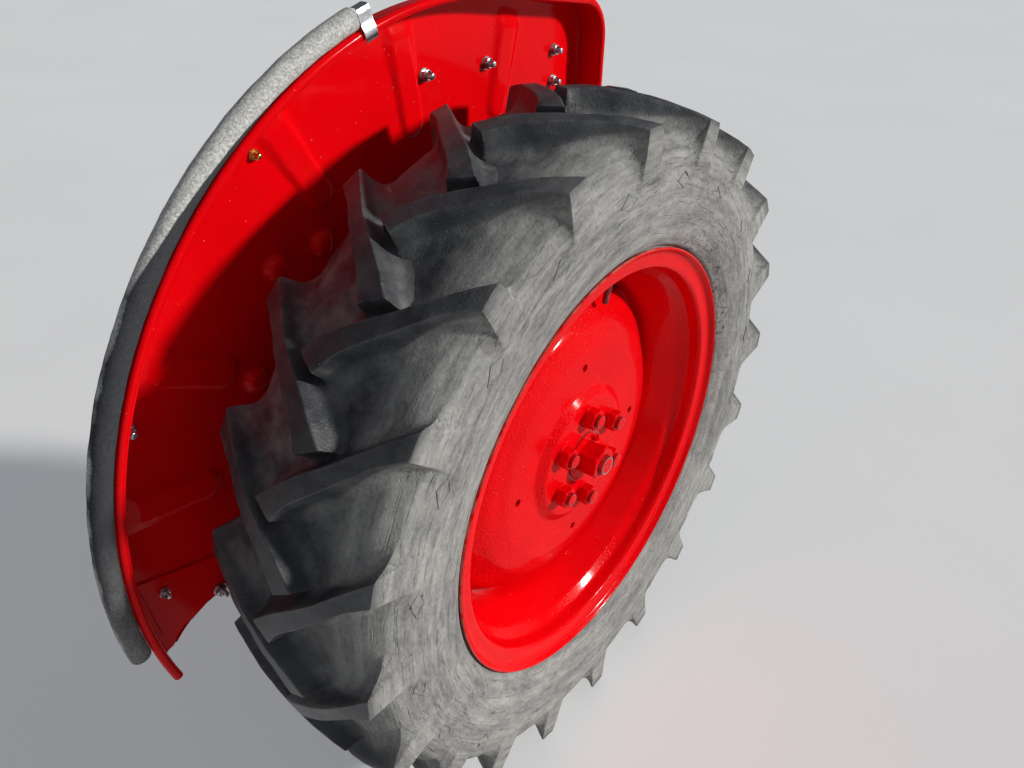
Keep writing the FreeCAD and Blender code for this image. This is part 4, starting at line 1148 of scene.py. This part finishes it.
# %% Finishes of the carried-over parts
cast_red = Finish("red_paint_castings", Coat_Weight=0.2)
colour = cast_red.mixed(cast_red.patches(7.0, 0.35, 0.7),
                        (0.50, 0.002, 0.007, 1), (0.38, 0.002, 0.006, 1))
grime = cast_red.patches(19.0, 0.46, 0.72, detail=10.0)
cast_red.feed(Base_Color=cast_red.mixed(grime * 0.55, colour, (0.06, 0.045, 0.035, 1)),
              Roughness=cast_red.ramp(grime, 0.0, 1.0, 0.34, 0.75))
cast_red.bumped(cast_red.shared(peel, Scale=90.0, Waves=0.9), 0.0012)

CARRIED = {
    "axle_housing": cast_red.material, "axle_shaft": steel, "hub": cast_red.material,
    "mudguard_carrier": cast_red.material, "carrier_screws": zinc, "lower_stay": guard_red,
}
for name, coat in CARRIED.items():
    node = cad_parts[name]
    node.data.materials.clear()
    node.data.materials.append(coat)
    print(name, "wears", coat.name)

# %% [markdown]
# A plain pale floor that runs out of sight, a distant light that stands low behind the wheel on
# its outboard side, as the shadows ask, and a much weaker one from ahead. Distant lights keep a
# wide floor evenly pale, and their angle keeps the shadows' edges soft. What the camera and
# reflections see of the floor is made a little paler by Light Path, without more light on the
# wheel.

# %% Floor and light
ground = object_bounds()[0][2]
floor_paint = Finish("floor_pale", Roughness=0.9, Emission_Color=(0.95, 0.97, 1.0, 1))
path = floor_paint.new("ShaderNodeLightPath", output="Is Camera Ray")
seen = (path + path.other("Is Glossy Ray")).clamped()
seen = (seen + path.other("Is Transmission Ray")).clamped()
floor_paint.feed(
    Base_Color=floor_paint.mixed(floor_paint.patches(0.8, 0.3, 0.7),
                                 (0.80, 0.80, 0.79, 1), (0.84, 0.84, 0.83, 1)),
    Emission_Strength=seen * 0.17)
FLOOR_HALF = 20.0
floor_mesh = bpy.data.meshes.new("floor")
floor_mesh.from_pydata([(x * FLOOR_HALF, y * FLOOR_HALF, ground) for x, y in
                        ((-1, -1), (1, -1), (1, 1), (-1, 1))], [], [(0, 1, 2, 3)])
floor_mesh.materials.append(floor_paint.material)
linked("floor", floor_mesh)

world = bpy.data.worlds.new("studio")
world.use_nodes = True
world.node_tree.nodes["Background"].inputs["Color"].default_value = (0.78, 0.86, 1.0, 1)
world.node_tree.nodes["Background"].inputs["Strength"].default_value = 0.14
bpy.context.scene.world = world


def sun(name, towards, strength, angle, colour):
    """A distant light that comes from a direction, so that the floor stays evenly lit."""
    lamp = bpy.data.lights.new(name, "SUN")
    lamp.energy, lamp.angle, lamp.color = strength, angle, colour
    linked(name, lamp).rotation_euler = Vector(towards).to_track_quat("Z", "Y").to_euler()


sun("key", (-0.62, 1.0, 0.46), 3.3, 0.10, (1.0, 0.98, 0.95))
sun("fill", (0.7, 0.5, 0.9), 0.16, 1.2, (0.94, 0.97, 1.0))
print("floor at", round(ground, 4), "m")

# %% [markdown]
# The camera stands where the photographer stood: ahead of the wheel, outboard and above, looking
# back and down, rolled a little. Its place and lens were worked out from the rim's circles.

# %% Camera
RIGHT = (-0.62013927, 0.7843967, 0.01221096)
DOWN = (0.4220913, 0.34674233, -0.83762085)
AHEAD = (-0.66126109, -0.51428744, -0.54611556)
PLACE = (0.66815, 0.74292, 0.61072)
FOCAL_PIXELS, IMAGE_WIDTH, SENSOR_WIDTH = 769.4869, 1024, 36.0
camera = bpy.data.cameras.new("camera")
camera.sensor_fit, camera.sensor_width = "HORIZONTAL", SENSOR_WIDTH
camera.lens = FOCAL_PIXELS / IMAGE_WIDTH * SENSOR_WIDTH
camera.clip_start = 0.01
view = linked("camera", camera)
view.matrix_world = Matrix([(RIGHT[row], -DOWN[row], -AHEAD[row], PLACE[row]) for row in range(3)]
                           + [(0, 0, 0, 1)])
bpy.context.scene.camera = view
bpy.context.scene.view_settings.view_transform = "Standard"
print("camera at", PLACE, "m, lens", round(camera.lens, 2), "mm")
